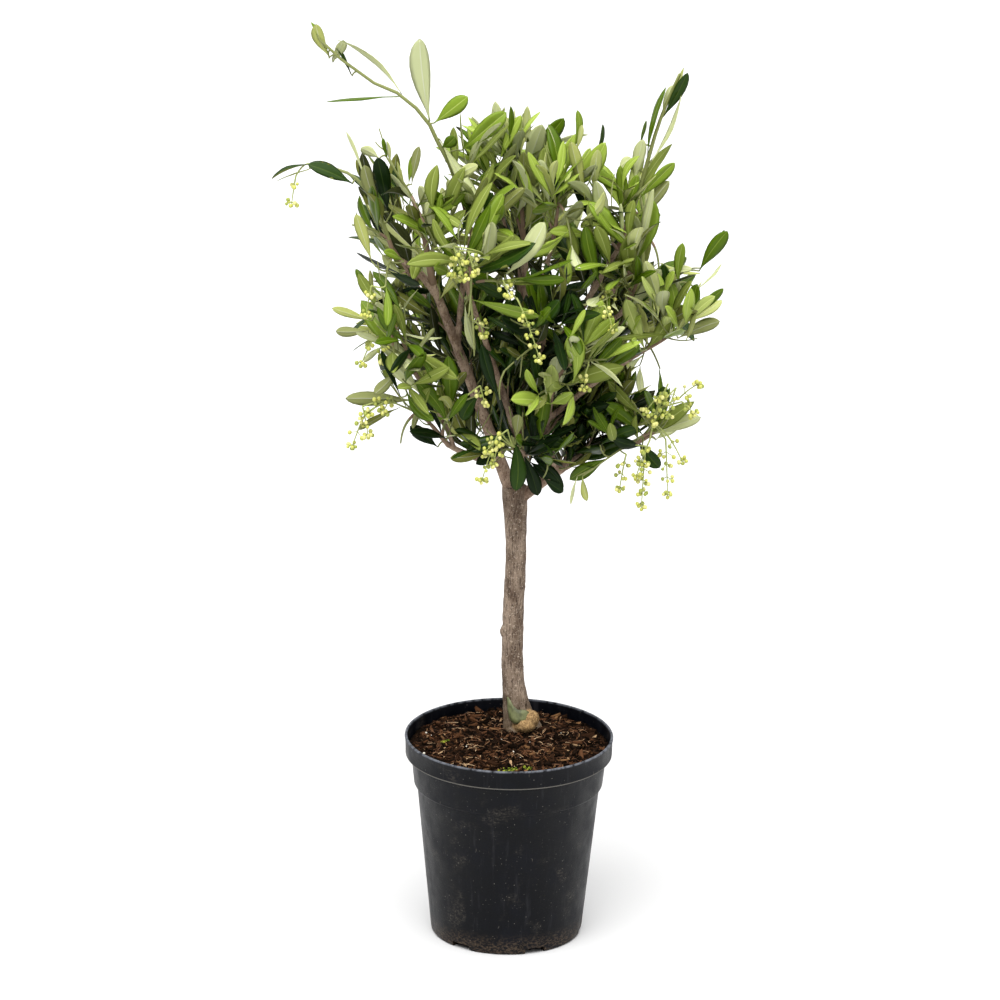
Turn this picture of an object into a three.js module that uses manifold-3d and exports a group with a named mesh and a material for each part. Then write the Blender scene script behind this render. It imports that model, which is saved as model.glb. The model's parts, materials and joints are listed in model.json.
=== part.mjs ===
// Potted olive tree: a small standard olive with a clear stem, in a black nursery pot.
// Millimetres, +Z up. The origin is the middle of the pot's flat underside, and -Y is the front.
import * as THREE from "three";
import { mergeVertices } from "three/addons/utils/BufferGeometryUtils.js";
import Module from "manifold-3d";

const wasm = await Module();
wasm.setup();

// ---------------------------------------------------------------- driving dimensions

// Clearance between pieces that carry one another.
const SEAT_GAP = 0.3;

// Faces thinner than this are merged into their neighbours.
const SLIVER = 0.04;

const POT = {
  height: 209,
  rimRadius: 105,
  rimHeight: 20, // the outer band that the pot is lifted by
  bandRadius: 98,
  bandFoot: 158, // height of the step under the second band
  wallRadius: 92, // the tapered wall just under that step
  footRadius: 76,
  wall: 2.4,
  floor: 4,
  sides: 22,
  step: 1.5, // the bands' steps slope over this height
  bandFootOut: 3, // how far the second band's foot stands out from the wall
  footRound: 3,
  lipRound: { out: 0.6, down: 2 },
  rimTaper: 1,
  notches: 6,
  notch: { width: 21, height: 6, depth: 14, firstAngle: -67 },
};

const SOIL = { wallLevel: 197, level: 204, plateauRadius: 65, clearance: 0.4, shoulder: 4, slopePower: 1.3 };

const TRUNK = {
  foot: [12, 40, SOIL.level + SEAT_GAP],
  line: [
    [5.5, 39.5, 236],
    [2.5, 39, 270],
    [2.5, 37.5, 330],
    [4.3, 36, 388],
  ],
  top: [1.9, 35, 462],
  radius: 10.2,
  flare: 8.8, // extra radius at the soil
  flareHeight: 33, // the flare dies away over this height
  lobes: { count: 3, share: 0.11, turn: 0.6, power: 3 }, // root lobes, as a share of the radius
  forkSwell: { radius: 2.2, from: 0.84, to: 0.97 }, // it swells where the limbs part
  topEdge: { from: 0.98, share: 0.72 }, // and its top edge is rounded off
  sides: 10,
  steps: 12,
};

// Burl and pruned knots on the trunk: height above the soil, angle round it, half sizes of the bump.
const KNOTS = [
  { height: 7, angle: -35, size: [11, 11, 10] },
  { height: 102, angle: 195, size: [4.5, 4.5, 7] },
  { height: 150, angle: -20, size: [3.5, 3.5, 6] },
  { height: 236, angle: -105, size: [4, 4, 6] },
];

const KNOT_SUNK = 0.35; // this share of a bump is sunk into the trunk
const BURL = 8; // a bump larger than this is rounder

// Main limbs and boughs. Each starts on its parent's middle line, at that share of its length, passes
// through a second point and ends at its tip, where a mass of foliage begins.
const LIMBS = [
  // name, parent, share of the parent's length, second point, tip, radius at the foot and at the tip
  ["limb_left", "trunk", 0.955, [-38, 19, 562], [-82, -12, 689], [7.4, 4.2]],
  ["limb_centre", "trunk", 0.955, [13, 58, 560], [8, 48, 700], [6.6, 3.4]],
  ["limb_right", "trunk", 0.955, [62, 19, 496], [118, 8, 518], [6.6, 3.6]],
  ["bough_low_left", "limb_left", 0.17, [-44, 0, 506], [-64, -18, 522], [4, 2.8]],
  ["bough_left", "bough_low_left", 0.86, [-72, -28, 556], [-98, -38, 604], [2.6, 2.2]],
  ["bough_spray_left", "limb_left", 0.93, [-98, -20, 704], [-120, -30, 724], [3.1, 2.4]],
  ["bough_top_left", "limb_left", 0.72, [-52, 0, 690], [-44, 4, 735], [3.4, 2.5]],
  ["bough_left_back", "limb_left", 0.55, [-76, 42, 632], [-104, 60, 672], [3.4, 2.3]],
  ["bough_back_left", "limb_left", 0.3, [-52, 82, 575], [-74, 118, 625], [3.8, 2.4]],
  ["bough_front", "limb_centre", 0.22, [-15, -12, 588], [-48, -52, 698], [4, 2.6]],
  ["bough_front_low", "limb_right", 0.22, [16, 2, 488], [12, -20, 512], [2.8, 2.2]],
  ["bough_right_mid", "limb_right", 0.34, [33, -2, 528], [36, -32, 578], [3.8, 2.8]],
  ["bough_right", "bough_right_mid", 0.72, [80, -16, 590], [124, -16, 622], [3.2, 2.4]],
  ["bough_centre", "limb_centre", 0.42, [22, 2, 600], [28, -28, 634], [3, 2.2]],
  ["bough_top_right", "limb_centre", 0.5, [62, 44, 640], [100, 22, 716], [3.8, 2.6]],
  ["bough_right_upper", "bough_top_right", 0.42, [98, 12, 648], [112, -12, 676], [2.8, 2.2]],
  ["bough_right_back", "bough_top_right", 0.3, [92, 78, 648], [118, 86, 682], [2.9, 2.2]],
  ["bough_top_front", "limb_centre", 0.72, [28, 18, 690], [36, -2, 734], [3, 2.3]],
  ["bough_back_right", "limb_right", 0.4, [76, 74, 545], [94, 114, 590], [3.6, 2.4]],
  ["bough_back_low", "limb_centre", 0.12, [16, 82, 492], [14, 112, 512], [2.9, 2.2]],
  ["bough_back", "limb_centre", 0.36, [10, 106, 588], [4, 140, 640], [3.6, 2.4]],
  ["bough_back_top", "limb_centre", 0.74, [-6, 88, 700], [-20, 108, 742], [3, 2.3]],
];

// A limb thicker than this at its foot has more sides. A step's length is in foot radii.
const BOUGH = { taper: 0.8, thick: 5, thickSides: 8, sides: 5, fewestSteps: 3, stepLength: 7 };

// Masses of foliage. Each is carried by a limb and grows along a few leading shoots, given by their
// tips. The first is the stem and the others branch off it. A tip may have points to pass through.
// leaf and twig are lengths, and a mass whose twig is 0 has leaves on its leading shoots only. phase
// turns the first pair of leaves. Panicles of flower buds hang from a leading shoot: which one, how
// far along, and which way.
const MASSES = [
  {
    name: "spray_top_left", limb: "bough_top_left", seed: 11, leaf: 62, twig: 0, phase: 45,
    shoots: [
      { tip: [-180, 0, 916], through: [[-60, -6, 792], [-92, -10, 852], [-122, -9, 886]], spacing: 30 },
      { tip: [-47, 2, 800] },
      { tip: [-24, -40, 756] },
    ],
    panicles: [],
  },
  {
    name: "spray_left", limb: "bough_spray_left", seed: 23, leaf: 54, twig: 0, phase: 10,
    shoots: [
      { tip: [-204, -22, 815], through: [[-140, -28, 776], [-164, -27, 806]] },
      { tip: [-162, -45, 760] },
      { tip: [-128, -66, 704] },
    ],
    panicles: [{ shoot: 0, at: 0.95, drop: [-10, 0, -36] }],
  },
  {
    name: "upper_left", limb: "limb_left", seed: 31, leaf: 58, twig: 40, phase: 60,
    shoots: [
      { tip: [-130, -20, 824], through: [[-98, -16, 766]] },
      { tip: [-66, -24, 775] },
      { tip: [-52, -58, 690] },
    ],
    panicles: [],
  },
  {
    name: "left", limb: "bough_left", seed: 47, leaf: 56, twig: 40, phase: 30,
    shoots: [
      { tip: [-140, -40, 686], through: [[-116, -44, 650]] },
      { tip: [-142, -46, 644] },
      { tip: [-92, -78, 636] },
      { tip: [-100, -62, 580] },
    ],
    panicles: [{ shoot: 1, at: 0.95, drop: [-12, -4, -26] }],
  },
  {
    name: "low_left", limb: "bough_low_left", seed: 59, leaf: 60, twig: 36, phase: 0,
    shoots: [
      { tip: [-116, -35, 571], through: [[-90, -30, 556]] },
      { tip: [-57, -56, 578] },
      { tip: [-112, -24, 526] },
    ],
    panicles: [{ shoot: 0, at: 0.92, drop: [-26, 0, -44] }],
  },
  {
    name: "front_upper", limb: "bough_front", seed: 61, leaf: 64, twig: 40, phase: 20,
    shoots: [
      { tip: [-34, -88, 744] },
      { tip: [4, -92, 698], through: [[-18, -82, 716]] },
      { tip: [-40, -86, 640] },
      { tip: [-46, -104, 686] },
    ],
    panicles: [{ shoot: 1, at: 0.96, drop: [14, -6, -58] }, { shoot: 3, at: 0.6, drop: [-6, -22, -18] }],
  },
  {
    name: "top", limb: "limb_centre", seed: 73, leaf: 56, twig: 44, phase: 45,
    shoots: [{ tip: [-3, 35, 818] }, { tip: [-26, 56, 806] }, { tip: [24, 62, 812] }],
    panicles: [],
  },
  {
    name: "top_front", limb: "bough_top_front", seed: 83, leaf: 58, twig: 40, phase: 15,
    shoots: [{ tip: [42, 8, 800] }, { tip: [10, -12, 782] }, { tip: [54, -44, 742] }],
    panicles: [],
  },
  {
    name: "spray_top_right", limb: "bough_top_right", seed: 97, leaf: 58, twig: 0, phase: 45,
    shoots: [
      { tip: [158, 20, 880], through: [[118, 16, 778]] },
      { tip: [84, -6, 772] },
      { tip: [66, -24, 744] },
      { tip: [138, 30, 750] },
    ],
    panicles: [],
  },
  {
    name: "right_upper", limb: "bough_right_upper", seed: 101, leaf: 58, twig: 40, phase: 35,
    shoots: [{ tip: [124, -24, 738] }, { tip: [92, -56, 726] }, { tip: [72, -62, 684] }],
    panicles: [{ shoot: 2, at: 0.7, drop: [4, -16, -26] }],
  },
  {
    name: "right", limb: "bough_right", seed: 113, leaf: 56, twig: 40, phase: 80,
    shoots: [
      { tip: [164, -20, 652], through: [[148, -20, 638]] },
      { tip: [162, -4, 700] },
      { tip: [144, -48, 682] },
      { tip: [112, -60, 598] },
    ],
    panicles: [],
  },
  {
    name: "right_mid", limb: "bough_right_mid", seed: 127, leaf: 58, twig: 40, phase: 50,
    shoots: [{ tip: [78, -86, 652] }, { tip: [24, -84, 600] }, { tip: [66, -66, 556] }],
    panicles: [],
  },
  {
    name: "right_low", limb: "limb_right", seed: 131, leaf: 56, twig: 38, phase: 25,
    shoots: [
      { tip: [156, 5, 550] },
      { tip: [140, -36, 566] },
      { tip: [142, 20, 518] },
      { tip: [80, -34, 506] },
    ],
    panicles: [
      { shoot: 0, at: 0.9, drop: [36, -4, 4] },
      { shoot: 2, at: 0.4, drop: [-2, -8, -62] },
      { shoot: 2, at: 0.85, drop: [2, -6, -54] },
      { shoot: 3, at: 0.4, drop: [-6, -6, -34] },
    ],
  },
  {
    name: "front_low", limb: "bough_front_low", seed: 149, leaf: 56, twig: 36, phase: 70,
    shoots: [{ tip: [2, -54, 534] }, { tip: [36, -46, 520] }, { tip: [-26, -46, 526] }],
    panicles: [{ shoot: 2, at: 0.85, drop: [-2, -8, -44] }],
  },
  {
    name: "centre", limb: "bough_centre", seed: 151, leaf: 58, twig: 44, phase: 5,
    shoots: [{ tip: [20, -84, 668] }, { tip: [-10, -78, 622] }, { tip: [50, -70, 692] }],
    panicles: [],
  },
  {
    name: "left_back", limb: "bough_left_back", seed: 163, leaf: 56, twig: 44, phase: 40,
    shoots: [{ tip: [-134, 72, 718] }, { tip: [-134, 42, 642] }, { tip: [-118, 104, 736] }],
    panicles: [{ shoot: 1, at: 0.9, drop: [-14, 6, -40] }],
  },
  {
    name: "back_left", limb: "bough_back_left", seed: 173, leaf: 60, twig: 44, phase: 20,
    shoots: [
      { tip: [-118, 140, 672] },
      { tip: [-92, 172, 636] },
      { tip: [-124, 112, 588] },
      { tip: [-82, 148, 560] },
    ],
    panicles: [],
  },
  {
    name: "right_back", limb: "bough_right_back", seed: 179, leaf: 56, twig: 42, phase: 65,
    shoots: [{ tip: [138, 92, 726] }, { tip: [128, 134, 718] }, { tip: [142, 74, 668] }],
    panicles: [],
  },
  {
    name: "back_right", limb: "bough_back_right", seed: 191, leaf: 60, twig: 42, phase: 10,
    shoots: [
      { tip: [140, 132, 640] },
      { tip: [106, 168, 602] },
      { tip: [146, 100, 566] },
      { tip: [92, 148, 538] },
    ],
    panicles: [{ shoot: 3, at: 0.8, drop: [4, 10, -46] }],
  },
  {
    name: "back", limb: "bough_back", seed: 193, leaf: 60, twig: 44, phase: 35,
    shoots: [
      { tip: [8, 192, 690] },
      { tip: [-38, 184, 642] },
      { tip: [46, 188, 636] },
      { tip: [4, 182, 586] },
    ],
    panicles: [],
  },
  {
    name: "back_top", limb: "bough_back_top", seed: 211, leaf: 58, twig: 44, phase: 55,
    shoots: [{ tip: [-42, 136, 798] }, { tip: [4, 148, 790] }, { tip: [-80, 124, 770] }],
    panicles: [],
  },
  {
    name: "back_low", limb: "bough_back_low", seed: 223, leaf: 56, twig: 38, phase: 0,
    shoots: [{ tip: [-24, 150, 530] }, { tip: [42, 156, 530] }, { tip: [-54, 112, 512] }],
    panicles: [{ shoot: 0, at: 0.9, drop: [-4, 10, -40] }],
  },
];

// The rule that every mass grows by.
const GROWTH = {
  firstFork: 0.12, // where along the stem the first side shoot leaves
  lastFork: 0.62,
  follow: 0.35, // how nearly a side shoot sets out along the stem
  bend: 0.45, // the share of a shoot's length that goes the way it sets out
  twigFirst: 24, // from a shoot's tip back to its first side twig
  twigSpacing: 46,
  twigAngle: 52,
  twigReach: { low: 0.8, high: 1.25 },
  twigBend: 0.55, // side twigs keep their way over this share of their length
  twigLift: 0.3, // and then turn up by this share of it
  leafSpacing: 23, // between pairs of leaves along a shoot
  leafAngle: { low: 62, tip: 27, spread: 9 },
  leafTwist: 32,
  leafSize: { low: 0.88, high: 1.18 },
  youngLeaf: 0.66, // the pair at a tip is still small
  quarterTurn: 90, // each pair stands across the one before
  slack: 18, // how far a mass reaches past the middle between two masses
  spacePoints: 6, // steps along a leading shoot that stand for it
};

const TWIG = {
  tipRadius: 1.5,
  shootRadius: 2.1,
  sides: 3,
  stemSteps: 3,
  shootSteps: 2,
  sideSteps: 2,
  phaseStep: 40, // each shoot's leaves stand this much further round than the last one's
};
const LEAF = { slender: 0.36, keel: 0.035, widest: 0.56, rootBack: 4.5, arch: 0.06, free: 0.14 };
const BUDS = { knots: 2, radius: 5.5, stalk: 1.2, sag: 0.12 };

const COLOURS = {
  pot: { color: 0x1d2126, roughness: 0.55 },
  soil: { color: 0x33251a, roughness: 0.95 },
  bark: { color: 0x7d6c5c, roughness: 0.85 },
  foliage: { color: 0x5c7238, roughness: 0.5 },
};

// ---------------------------------------------------------------- small tools

const UP = new THREE.Vector3(0, 0, 1);
const vec = (p) => new THREE.Vector3(...p);
const mix = (a, b, t) => a + (b - a) * t;
const radians = THREE.MathUtils.degToRad;

// Seeded draws from a Lehmer generator, the same in any language.
function draws(seed) {
  let state = seed;
  return (low = 0, high = 1) => {
    state = (state * 48271) % 2147483647;
    return low + ((high - low) * state) / 2147483647;
  };
}

// A smooth curve through points.
function curveThrough(...points) {
  return new THREE.CatmullRomCurve3(points, false, "catmullrom", 0.5);
}

// A closed geometry as a solid that can be joined and cut.
function solidOf(geometry) {
  const bare = new THREE.BufferGeometry();
  bare.setAttribute("position", geometry.getAttribute("position"));
  bare.setIndex(geometry.getIndex());
  const merged = mergeVertices(bare, 1e-4);
  const solid = new wasm.Manifold(
    new wasm.Mesh({
      numProp: 3,
      vertProperties: merged.getAttribute("position").array,
      triVerts: new Uint32Array(merged.getIndex().array),
    }),
  );
  if (solid.volume() <= 0) throw new Error("a solid is empty or inside out");
  return solid;
}

// The largest of a solid's separate bodies, with the slivers that its cuts leave taken out.
function largest(solid) {
  return solid
    .simplify(SLIVER)
    .decompose()
    .reduce((a, b) => (b.volume() > a.volume() ? b : a));
}

// A solid as a named mesh with its finish.
function meshOf(name, solid, finish) {
  const { vertProperties, triVerts } = solid.getMesh();
  const geometry = new THREE.BufferGeometry();
  geometry.setAttribute("position", new THREE.BufferAttribute(vertProperties, 3));
  geometry.setIndex(new THREE.BufferAttribute(triVerts, 1));
  geometry.computeVertexNormals();
  const material = new THREE.MeshStandardMaterial({ ...COLOURS[finish], metalness: 0 });
  const mesh = new THREE.Mesh(geometry, material);
  mesh.name = name;
  return mesh;
}

// A unit vector across a direction, turned about it from the level one.
function across(direction, angle) {
  const level = new THREE.Vector3().crossVectors(direction, UP);
  if (level.length() < 0.05) level.set(1, 0, 0);
  return level.normalize().applyAxisAngle(direction, radians(angle));
}

// A curve as frames at even steps: a point, the direction there and one way across it, which is
// carried along without twist.
function framesAlong(curve, steps, phase = 0) {
  const frames = [];
  for (let i = 0; i <= steps; i++) {
    const direction = curve.getTangent(i / steps);
    const out = i ? frames[i - 1].out.clone().projectOnPlane(direction) : across(direction, phase);
    frames.push({ point: curve.getPoint(i / steps), direction, out: out.normalize() });
  }
  return frames;
}

// The frame at a share of the way along, on the straight run between two frames.
function frameAt(frames, t) {
  const run = t * (frames.length - 1);
  const i = Math.min(Math.floor(run), frames.length - 2);
  const [a, b] = [frames[i], frames[i + 1]];
  const direction = b.point.clone().sub(a.point).normalize();
  const out = a.out.clone().projectOnPlane(direction).normalize();
  return { point: a.point.clone().lerp(b.point, run - i), direction, out };
}

function lengthOf(frames) {
  return frames.slice(1).reduce((sum, { point }, i) => sum + point.distanceTo(frames[i].point), 0);
}

// A cylinder bent along frames, with the middle of one side facing out. radiusAt(t, angle) gives
// its radius. grow thickens it all round and pushes both ends out.
function bentCylinder(frames, radiusAt, sides, grow = 0) {
  const steps = frames.length - 1;
  const geometry = new THREE.CylinderGeometry(1, 1, 1, sides, steps, false, Math.PI / sides);
  const position = geometry.getAttribute("position");
  for (let i = 0; i < position.count; i++) {
    const step = Math.round((position.getY(i) + 0.5) * steps);
    const { point, direction, out } = frames[step];
    const section = new THREE.Vector2(position.getZ(i), position.getX(i));
    const radius = section.length() > 0.5 ? radiusAt(step / steps, section.angle()) + grow : 0;
    const side = new THREE.Vector3().crossVectors(direction, out);
    const end = step === 0 ? -grow : step === steps ? grow : 0;
    const place = point
      .clone()
      .addScaledVector(out, Math.cos(section.angle()) * radius)
      .addScaledVector(side, Math.sin(section.angle()) * radius)
      .addScaledVector(direction, end);
    position.setXYZ(i, place.x, place.y, place.z);
  }
  return solidOf(geometry);
}

// ---------------------------------------------------------------- pot and soil

// A profile of [radius, height] pairs, from axis to axis, turned about Z.
function turned(profile) {
  const points = profile.map(([radius, height]) => new THREE.Vector2(radius, height));
  const geometry = new THREE.LatheGeometry(points, POT.sides);
  geometry.rotateX(Math.PI / 2);
  return solidOf(geometry);
}

// Radii of the pot's inside, from the foot up to the rim.
function insideRadii() {
  return {
    foot: POT.footRadius - POT.wall,
    wall: POT.wallRadius - POT.wall,
    bandFoot: POT.wallRadius + POT.bandFootOut - POT.wall,
    band: POT.bandRadius - POT.wall,
    rim: POT.rimRadius - POT.rimTaper - POT.wall,
  };
}

function pot() {
  const inside = insideRadii();
  const lip = POT.height - POT.rimHeight;
  let solid = turned([
    [0, 0],
    [POT.footRadius - POT.footRound, 0],
    [POT.footRadius, POT.floor],
    [POT.wallRadius, POT.bandFoot - POT.step],
    [POT.wallRadius + POT.bandFootOut, POT.bandFoot],
    [POT.bandRadius, lip - POT.step],
    [POT.rimRadius - POT.rimTaper, lip],
    [POT.rimRadius, POT.height - POT.lipRound.down],
    [POT.rimRadius - POT.lipRound.out, POT.height],
    [inside.rim, POT.height],
    [inside.rim, lip + POT.wall],
    [inside.band, lip + POT.wall - POT.step],
    [inside.bandFoot, POT.bandFoot + POT.wall],
    [inside.wall, POT.bandFoot + POT.wall - POT.step],
    [inside.foot, POT.floor + POT.footRound],
    [inside.foot - POT.footRound, POT.floor],
    [0, POT.floor],
  ]);
  const { width, height, depth, firstAngle } = POT.notch;
  for (let i = 0; i < POT.notches; i++) {
    const notch = new THREE.BoxGeometry(depth, width, 2 * height);
    notch.translate(POT.footRadius - depth / 2 + 2, 0, 0);
    notch.rotateZ(radians(firstAngle + (360 / POT.notches) * i));
    solid = solid.subtract(solidOf(notch));
  }
  return meshOf("pot", largest(solid), "pot");
}

// The soil fills the pot, a clearance short of its wall and floor.
function soil() {
  const inside = insideRadii();
  const gap = SOIL.clearance;
  const lip = POT.height - POT.rimHeight + POT.wall;
  const bandFoot = POT.bandFoot + POT.wall;
  const slope = (share) => [
    mix(SOIL.plateauRadius, inside.rim, share),
    mix(SOIL.level, SOIL.wallLevel, share ** SOIL.slopePower),
  ];
  const solid = turned([
    [0, POT.floor + gap],
    [inside.foot - POT.footRound - gap, POT.floor + gap],
    [inside.foot - gap, POT.floor + POT.footRound + gap],
    [inside.wall - gap, bandFoot - POT.step],
    [inside.bandFoot - gap, bandFoot + gap],
    [inside.band - gap, lip - POT.step + gap],
    [inside.rim - SOIL.shoulder, lip + gap],
    [inside.rim - gap, SOIL.wallLevel],
    slope(0.45),
    [SOIL.plateauRadius, SOIL.level],
    [0, SOIL.level],
  ]);
  return meshOf("soil", solid, "soil");
}

// ---------------------------------------------------------------- trunk, limbs and boughs

const trunkCurve = curveThrough(...[TRUNK.foot, ...TRUNK.line, TRUNK.top].map(vec));

// Radius of the trunk: root flare with three lobes at the soil, even above, and swelling at the fork.
function trunkRadius(t, angle) {
  const height = t * (TRUNK.top[2] - TRUNK.foot[2]);
  const flare = Math.exp(-height / TRUNK.flareHeight);
  const { count, share, turn, power } = TRUNK.lobes;
  const lobes = 1 + share * flare ** power * Math.cos(count * angle + turn);
  const { radius, from, to } = TRUNK.forkSwell;
  const fork = radius * THREE.MathUtils.smoothstep(t, from, to);
  const edge = t > TRUNK.topEdge.from ? TRUNK.topEdge.share : 1;
  return (TRUNK.radius + TRUNK.flare * flare + fork) * lobes * edge;
}

// The trunk is cut level at the soil, whatever its lean there.
function trunkSolid(grow = 0) {
  let solid = bentCylinder(framesAlong(trunkCurve, TRUNK.steps), trunkRadius, TRUNK.sides, grow);
  for (const { height, angle, size } of KNOTS) {
    const t = height / (TRUNK.top[2] - TRUNK.foot[2]);
    const radius = trunkRadius(t, 0) - size[0] * KNOT_SUNK;
    const bump = new THREE.IcosahedronGeometry(1, size[0] > BURL ? 1 : 0);
    bump.scale(...size.map((s) => s + grow));
    const centre = trunkCurve.getPoint(t);
    bump.translate(
      centre.x + radius * Math.cos(radians(angle)),
      centre.y + radius * Math.sin(radians(angle)),
      TRUNK.foot[2] + height,
    );
    solid = solid.add(solidOf(bump));
  }
  const below = new THREE.BoxGeometry(200, 200, 100);
  below.translate(TRUNK.foot[0], TRUNK.foot[1], TRUNK.foot[2] - 50);
  return largest(solid.subtract(solidOf(below)));
}

// Middle lines of the trunk and limbs by name, and their solids thickened by the seat gap.
const lines = new Map([["trunk", trunkCurve]]);
const cleared = new Map([["trunk", trunkSolid(SEAT_GAP)]]);
const tipRadii = new Map();

// A limb is cut clear of its parent and of every limb built before it.
function limb([name, parent, at, through, tip, [footRadius, tipRadius]]) {
  const curve = curveThrough(lines.get(parent).getPoint(at), vec(through), vec(tip));
  const radiusAt = (t) => mix(footRadius, tipRadius, t ** BOUGH.taper);
  const sides = footRadius > BOUGH.thick ? BOUGH.thickSides : BOUGH.sides;
  const steps = Math.max(BOUGH.fewestSteps, Math.round(curve.getLength() / (footRadius * BOUGH.stepLength)));
  const frames = framesAlong(curve, steps);
  let solid = bentCylinder(frames, radiusAt, sides);
  for (const other of cleared.values()) solid = solid.subtract(other);
  lines.set(name, curve);
  cleared.set(name, bentCylinder(frames, radiusAt, sides, SEAT_GAP));
  tipRadii.set(name, tipRadius);
  return meshOf(name, largest(solid), "bark");
}

// ---------------------------------------------------------------- foliage

// A shoot that leaves a line at a point and turns towards its own tip. follow is how nearly it sets
// out in the line's own direction.
function shootCurve(start, direction, follow, { tip, through }) {
  const end = vec(tip);
  if (through) return curveThrough(start, ...through.map(vec), end);
  const way = end.clone().sub(start).normalize().lerp(direction, follow).normalize();
  const control = start.clone().addScaledVector(way, start.distanceTo(end) * GROWTH.bend);
  return new THREE.QuadraticBezierCurve3(start, control, end);
}

// The leading shoots of a mass, as curves: the stem on from the limb's tip, then its side shoots.
function leadingShoots(mass) {
  const line = lines.get(mass.limb);
  const direction = line.getTangent(1);
  const foot = line.getPoint(1).addScaledVector(direction, SEAT_GAP);
  const stem = shootCurve(foot, direction, 1, mass.shoots[0]);
  const others = mass.shoots.slice(1).map((shoot, i, all) => {
    const at = mix(GROWTH.firstFork, GROWTH.lastFork, i / Math.max(1, all.length - 1));
    return shootCurve(stem.getPoint(at), stem.getTangent(at), GROWTH.follow, shoot);
  });
  return [stem, ...others];
}

// What a mass grows on: its leading shoots as curves, as frames and as one solid clear of the limbs.
function framework(mass) {
  const curves = leadingShoots(mass);
  const shoots = curves.map((curve, i) => {
    const steps = i ? TWIG.shootSteps : TWIG.stemSteps;
    return framesAlong(curve, steps, mass.phase + TWIG.phaseStep * i);
  });
  const solids = shoots.map((frames, i) => {
    const foot = i ? TWIG.shootRadius : tipRadii.get(mass.limb);
    const shoot = bentCylinder(frames, (t) => mix(foot, TWIG.tipRadius, t), TWIG.sides);
    return [...cleared.values()].reduce((rest, limbSolid) => rest.subtract(limbSolid), shoot);
  });
  return { curves, shoots, solid: solids.reduce((a, b) => a.add(b)) };
}

// Side twigs of a leading shoot, set back from its tip at even steps, all round it.
function sideTwigs(frames, mass, draw) {
  const length = mass.twig ? lengthOf(frames) : 0;
  const twigs = [];
  for (let back = GROWTH.twigFirst; back < length; back += GROWTH.twigSpacing) {
    const { point, direction } = frameAt(frames, 1 - back / length);
    const way = direction
      .clone()
      .multiplyScalar(Math.cos(radians(GROWTH.twigAngle)))
      .addScaledVector(across(direction, draw(0, 360)), Math.sin(radians(GROWTH.twigAngle)));
    const reach = mass.twig * draw(GROWTH.twigReach.low, GROWTH.twigReach.high);
    const control = point.clone().addScaledVector(way, reach * GROWTH.twigBend);
    const tip = point.clone().addScaledVector(way, reach).addScaledVector(UP, reach * GROWTH.twigLift);
    twigs.push(new THREE.QuadraticBezierCurve3(point, control, tip));
  }
  return twigs;
}

// Places of the leaves along a shoot, in pairs counted back from its tip, each across the last.
function leafSites(frames, spacing, mass, draw) {
  const length = lengthOf(frames);
  const sites = [];
  for (let back = 0, i = 0; back < length - LEAF.rootBack; back += spacing, i++) {
    const t = 1 - back / length;
    const { point, direction, out } = frameAt(frames, t);
    const young = i ? 1 : GROWTH.youngLeaf;
    const angle = mix(GROWTH.leafAngle.low, GROWTH.leafAngle.tip, t ** 2);
    for (const side of [0, 180]) {
      sites.push({
        point,
        direction,
        out: out.clone().applyAxisAngle(direction, radians(GROWTH.quarterTurn * i + side)),
        angle: angle + draw(-1, 1) * GROWTH.leafAngle.spread,
        twist: draw(-1, 1) * GROWTH.leafTwist,
        length: mass.leaf * young * draw(GROWTH.leafSize.low, GROWTH.leafSize.high),
      });
    }
  }
  return sites;
}

// The way that a leaf points.
function leafWay({ direction, out, angle }) {
  return direction
    .clone()
    .multiplyScalar(Math.cos(radians(angle)))
    .addScaledVector(out, Math.sin(radians(angle)));
}

// A leaf of six faces: flat above, keeled below, widest past the middle, with its tip arched over.
// Its root is sunk well into the twig. Without the root it starts a little way out, clear of it.
function leafSolid(site, rooted = true) {
  const { point, direction, out, twist, length } = site;
  const along = leafWay(site);
  const wide = new THREE.Vector3().crossVectors(direction, out).applyAxisAngle(along, radians(twist));
  const face = new THREE.Vector3().crossVectors(wide, along);
  const sunk = point.clone().addScaledVector(direction, -LEAF.rootBack);
  const root = rooted ? sunk : point.clone().addScaledVector(along, length * LEAF.free);
  const middle = point
    .clone()
    .addScaledVector(along, length * LEAF.widest)
    .addScaledVector(face, -length * LEAF.arch);
  const tip = point.clone().addScaledVector(along, length);
  const blade = new THREE.SphereGeometry(1, 3, 2, -Math.PI / 2);
  const position = blade.getAttribute("position");
  for (let i = 0; i < position.count; i++) {
    const [x, y, z] = [position.getX(i), position.getY(i), position.getZ(i)];
    const place = (y > 0.5 ? tip : y < -0.5 ? root : middle).clone();
    if (Math.abs(y) < 0.5) {
      place.addScaledVector(wide, Math.sign(Math.round(x)) * length * LEAF.slender * 0.5);
      place.addScaledVector(face, z < -0.8 ? -length * LEAF.keel : 0);
    }
    position.setXYZ(i, place.x, place.y, place.z);
  }
  return solidOf(blade);
}

// A hanging panicle: a thin stalk that swells into knots of flower buds along its outer part.
function panicleSolid(start, drop) {
  const control = start.clone().addScaledVector(drop, 0.5).addScaledVector(UP, drop.length() * BUDS.sag);
  const curve = new THREE.QuadraticBezierCurve3(start, control, start.clone().add(drop));
  const steps = 2 * BUDS.knots + 1;
  const radiusAt = (t) => {
    const step = Math.round(t * steps);
    return step > 1 && step % 2 === 0 ? BUDS.radius * mix(1.1, 0.75, t) : BUDS.stalk;
  };
  return bentCylinder(framesAlong(curve, steps), radiusAt, TWIG.sides);
}

// The space of each mass: points along its leading shoots. A place belongs to the nearest.
const spaces = new Map();

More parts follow.
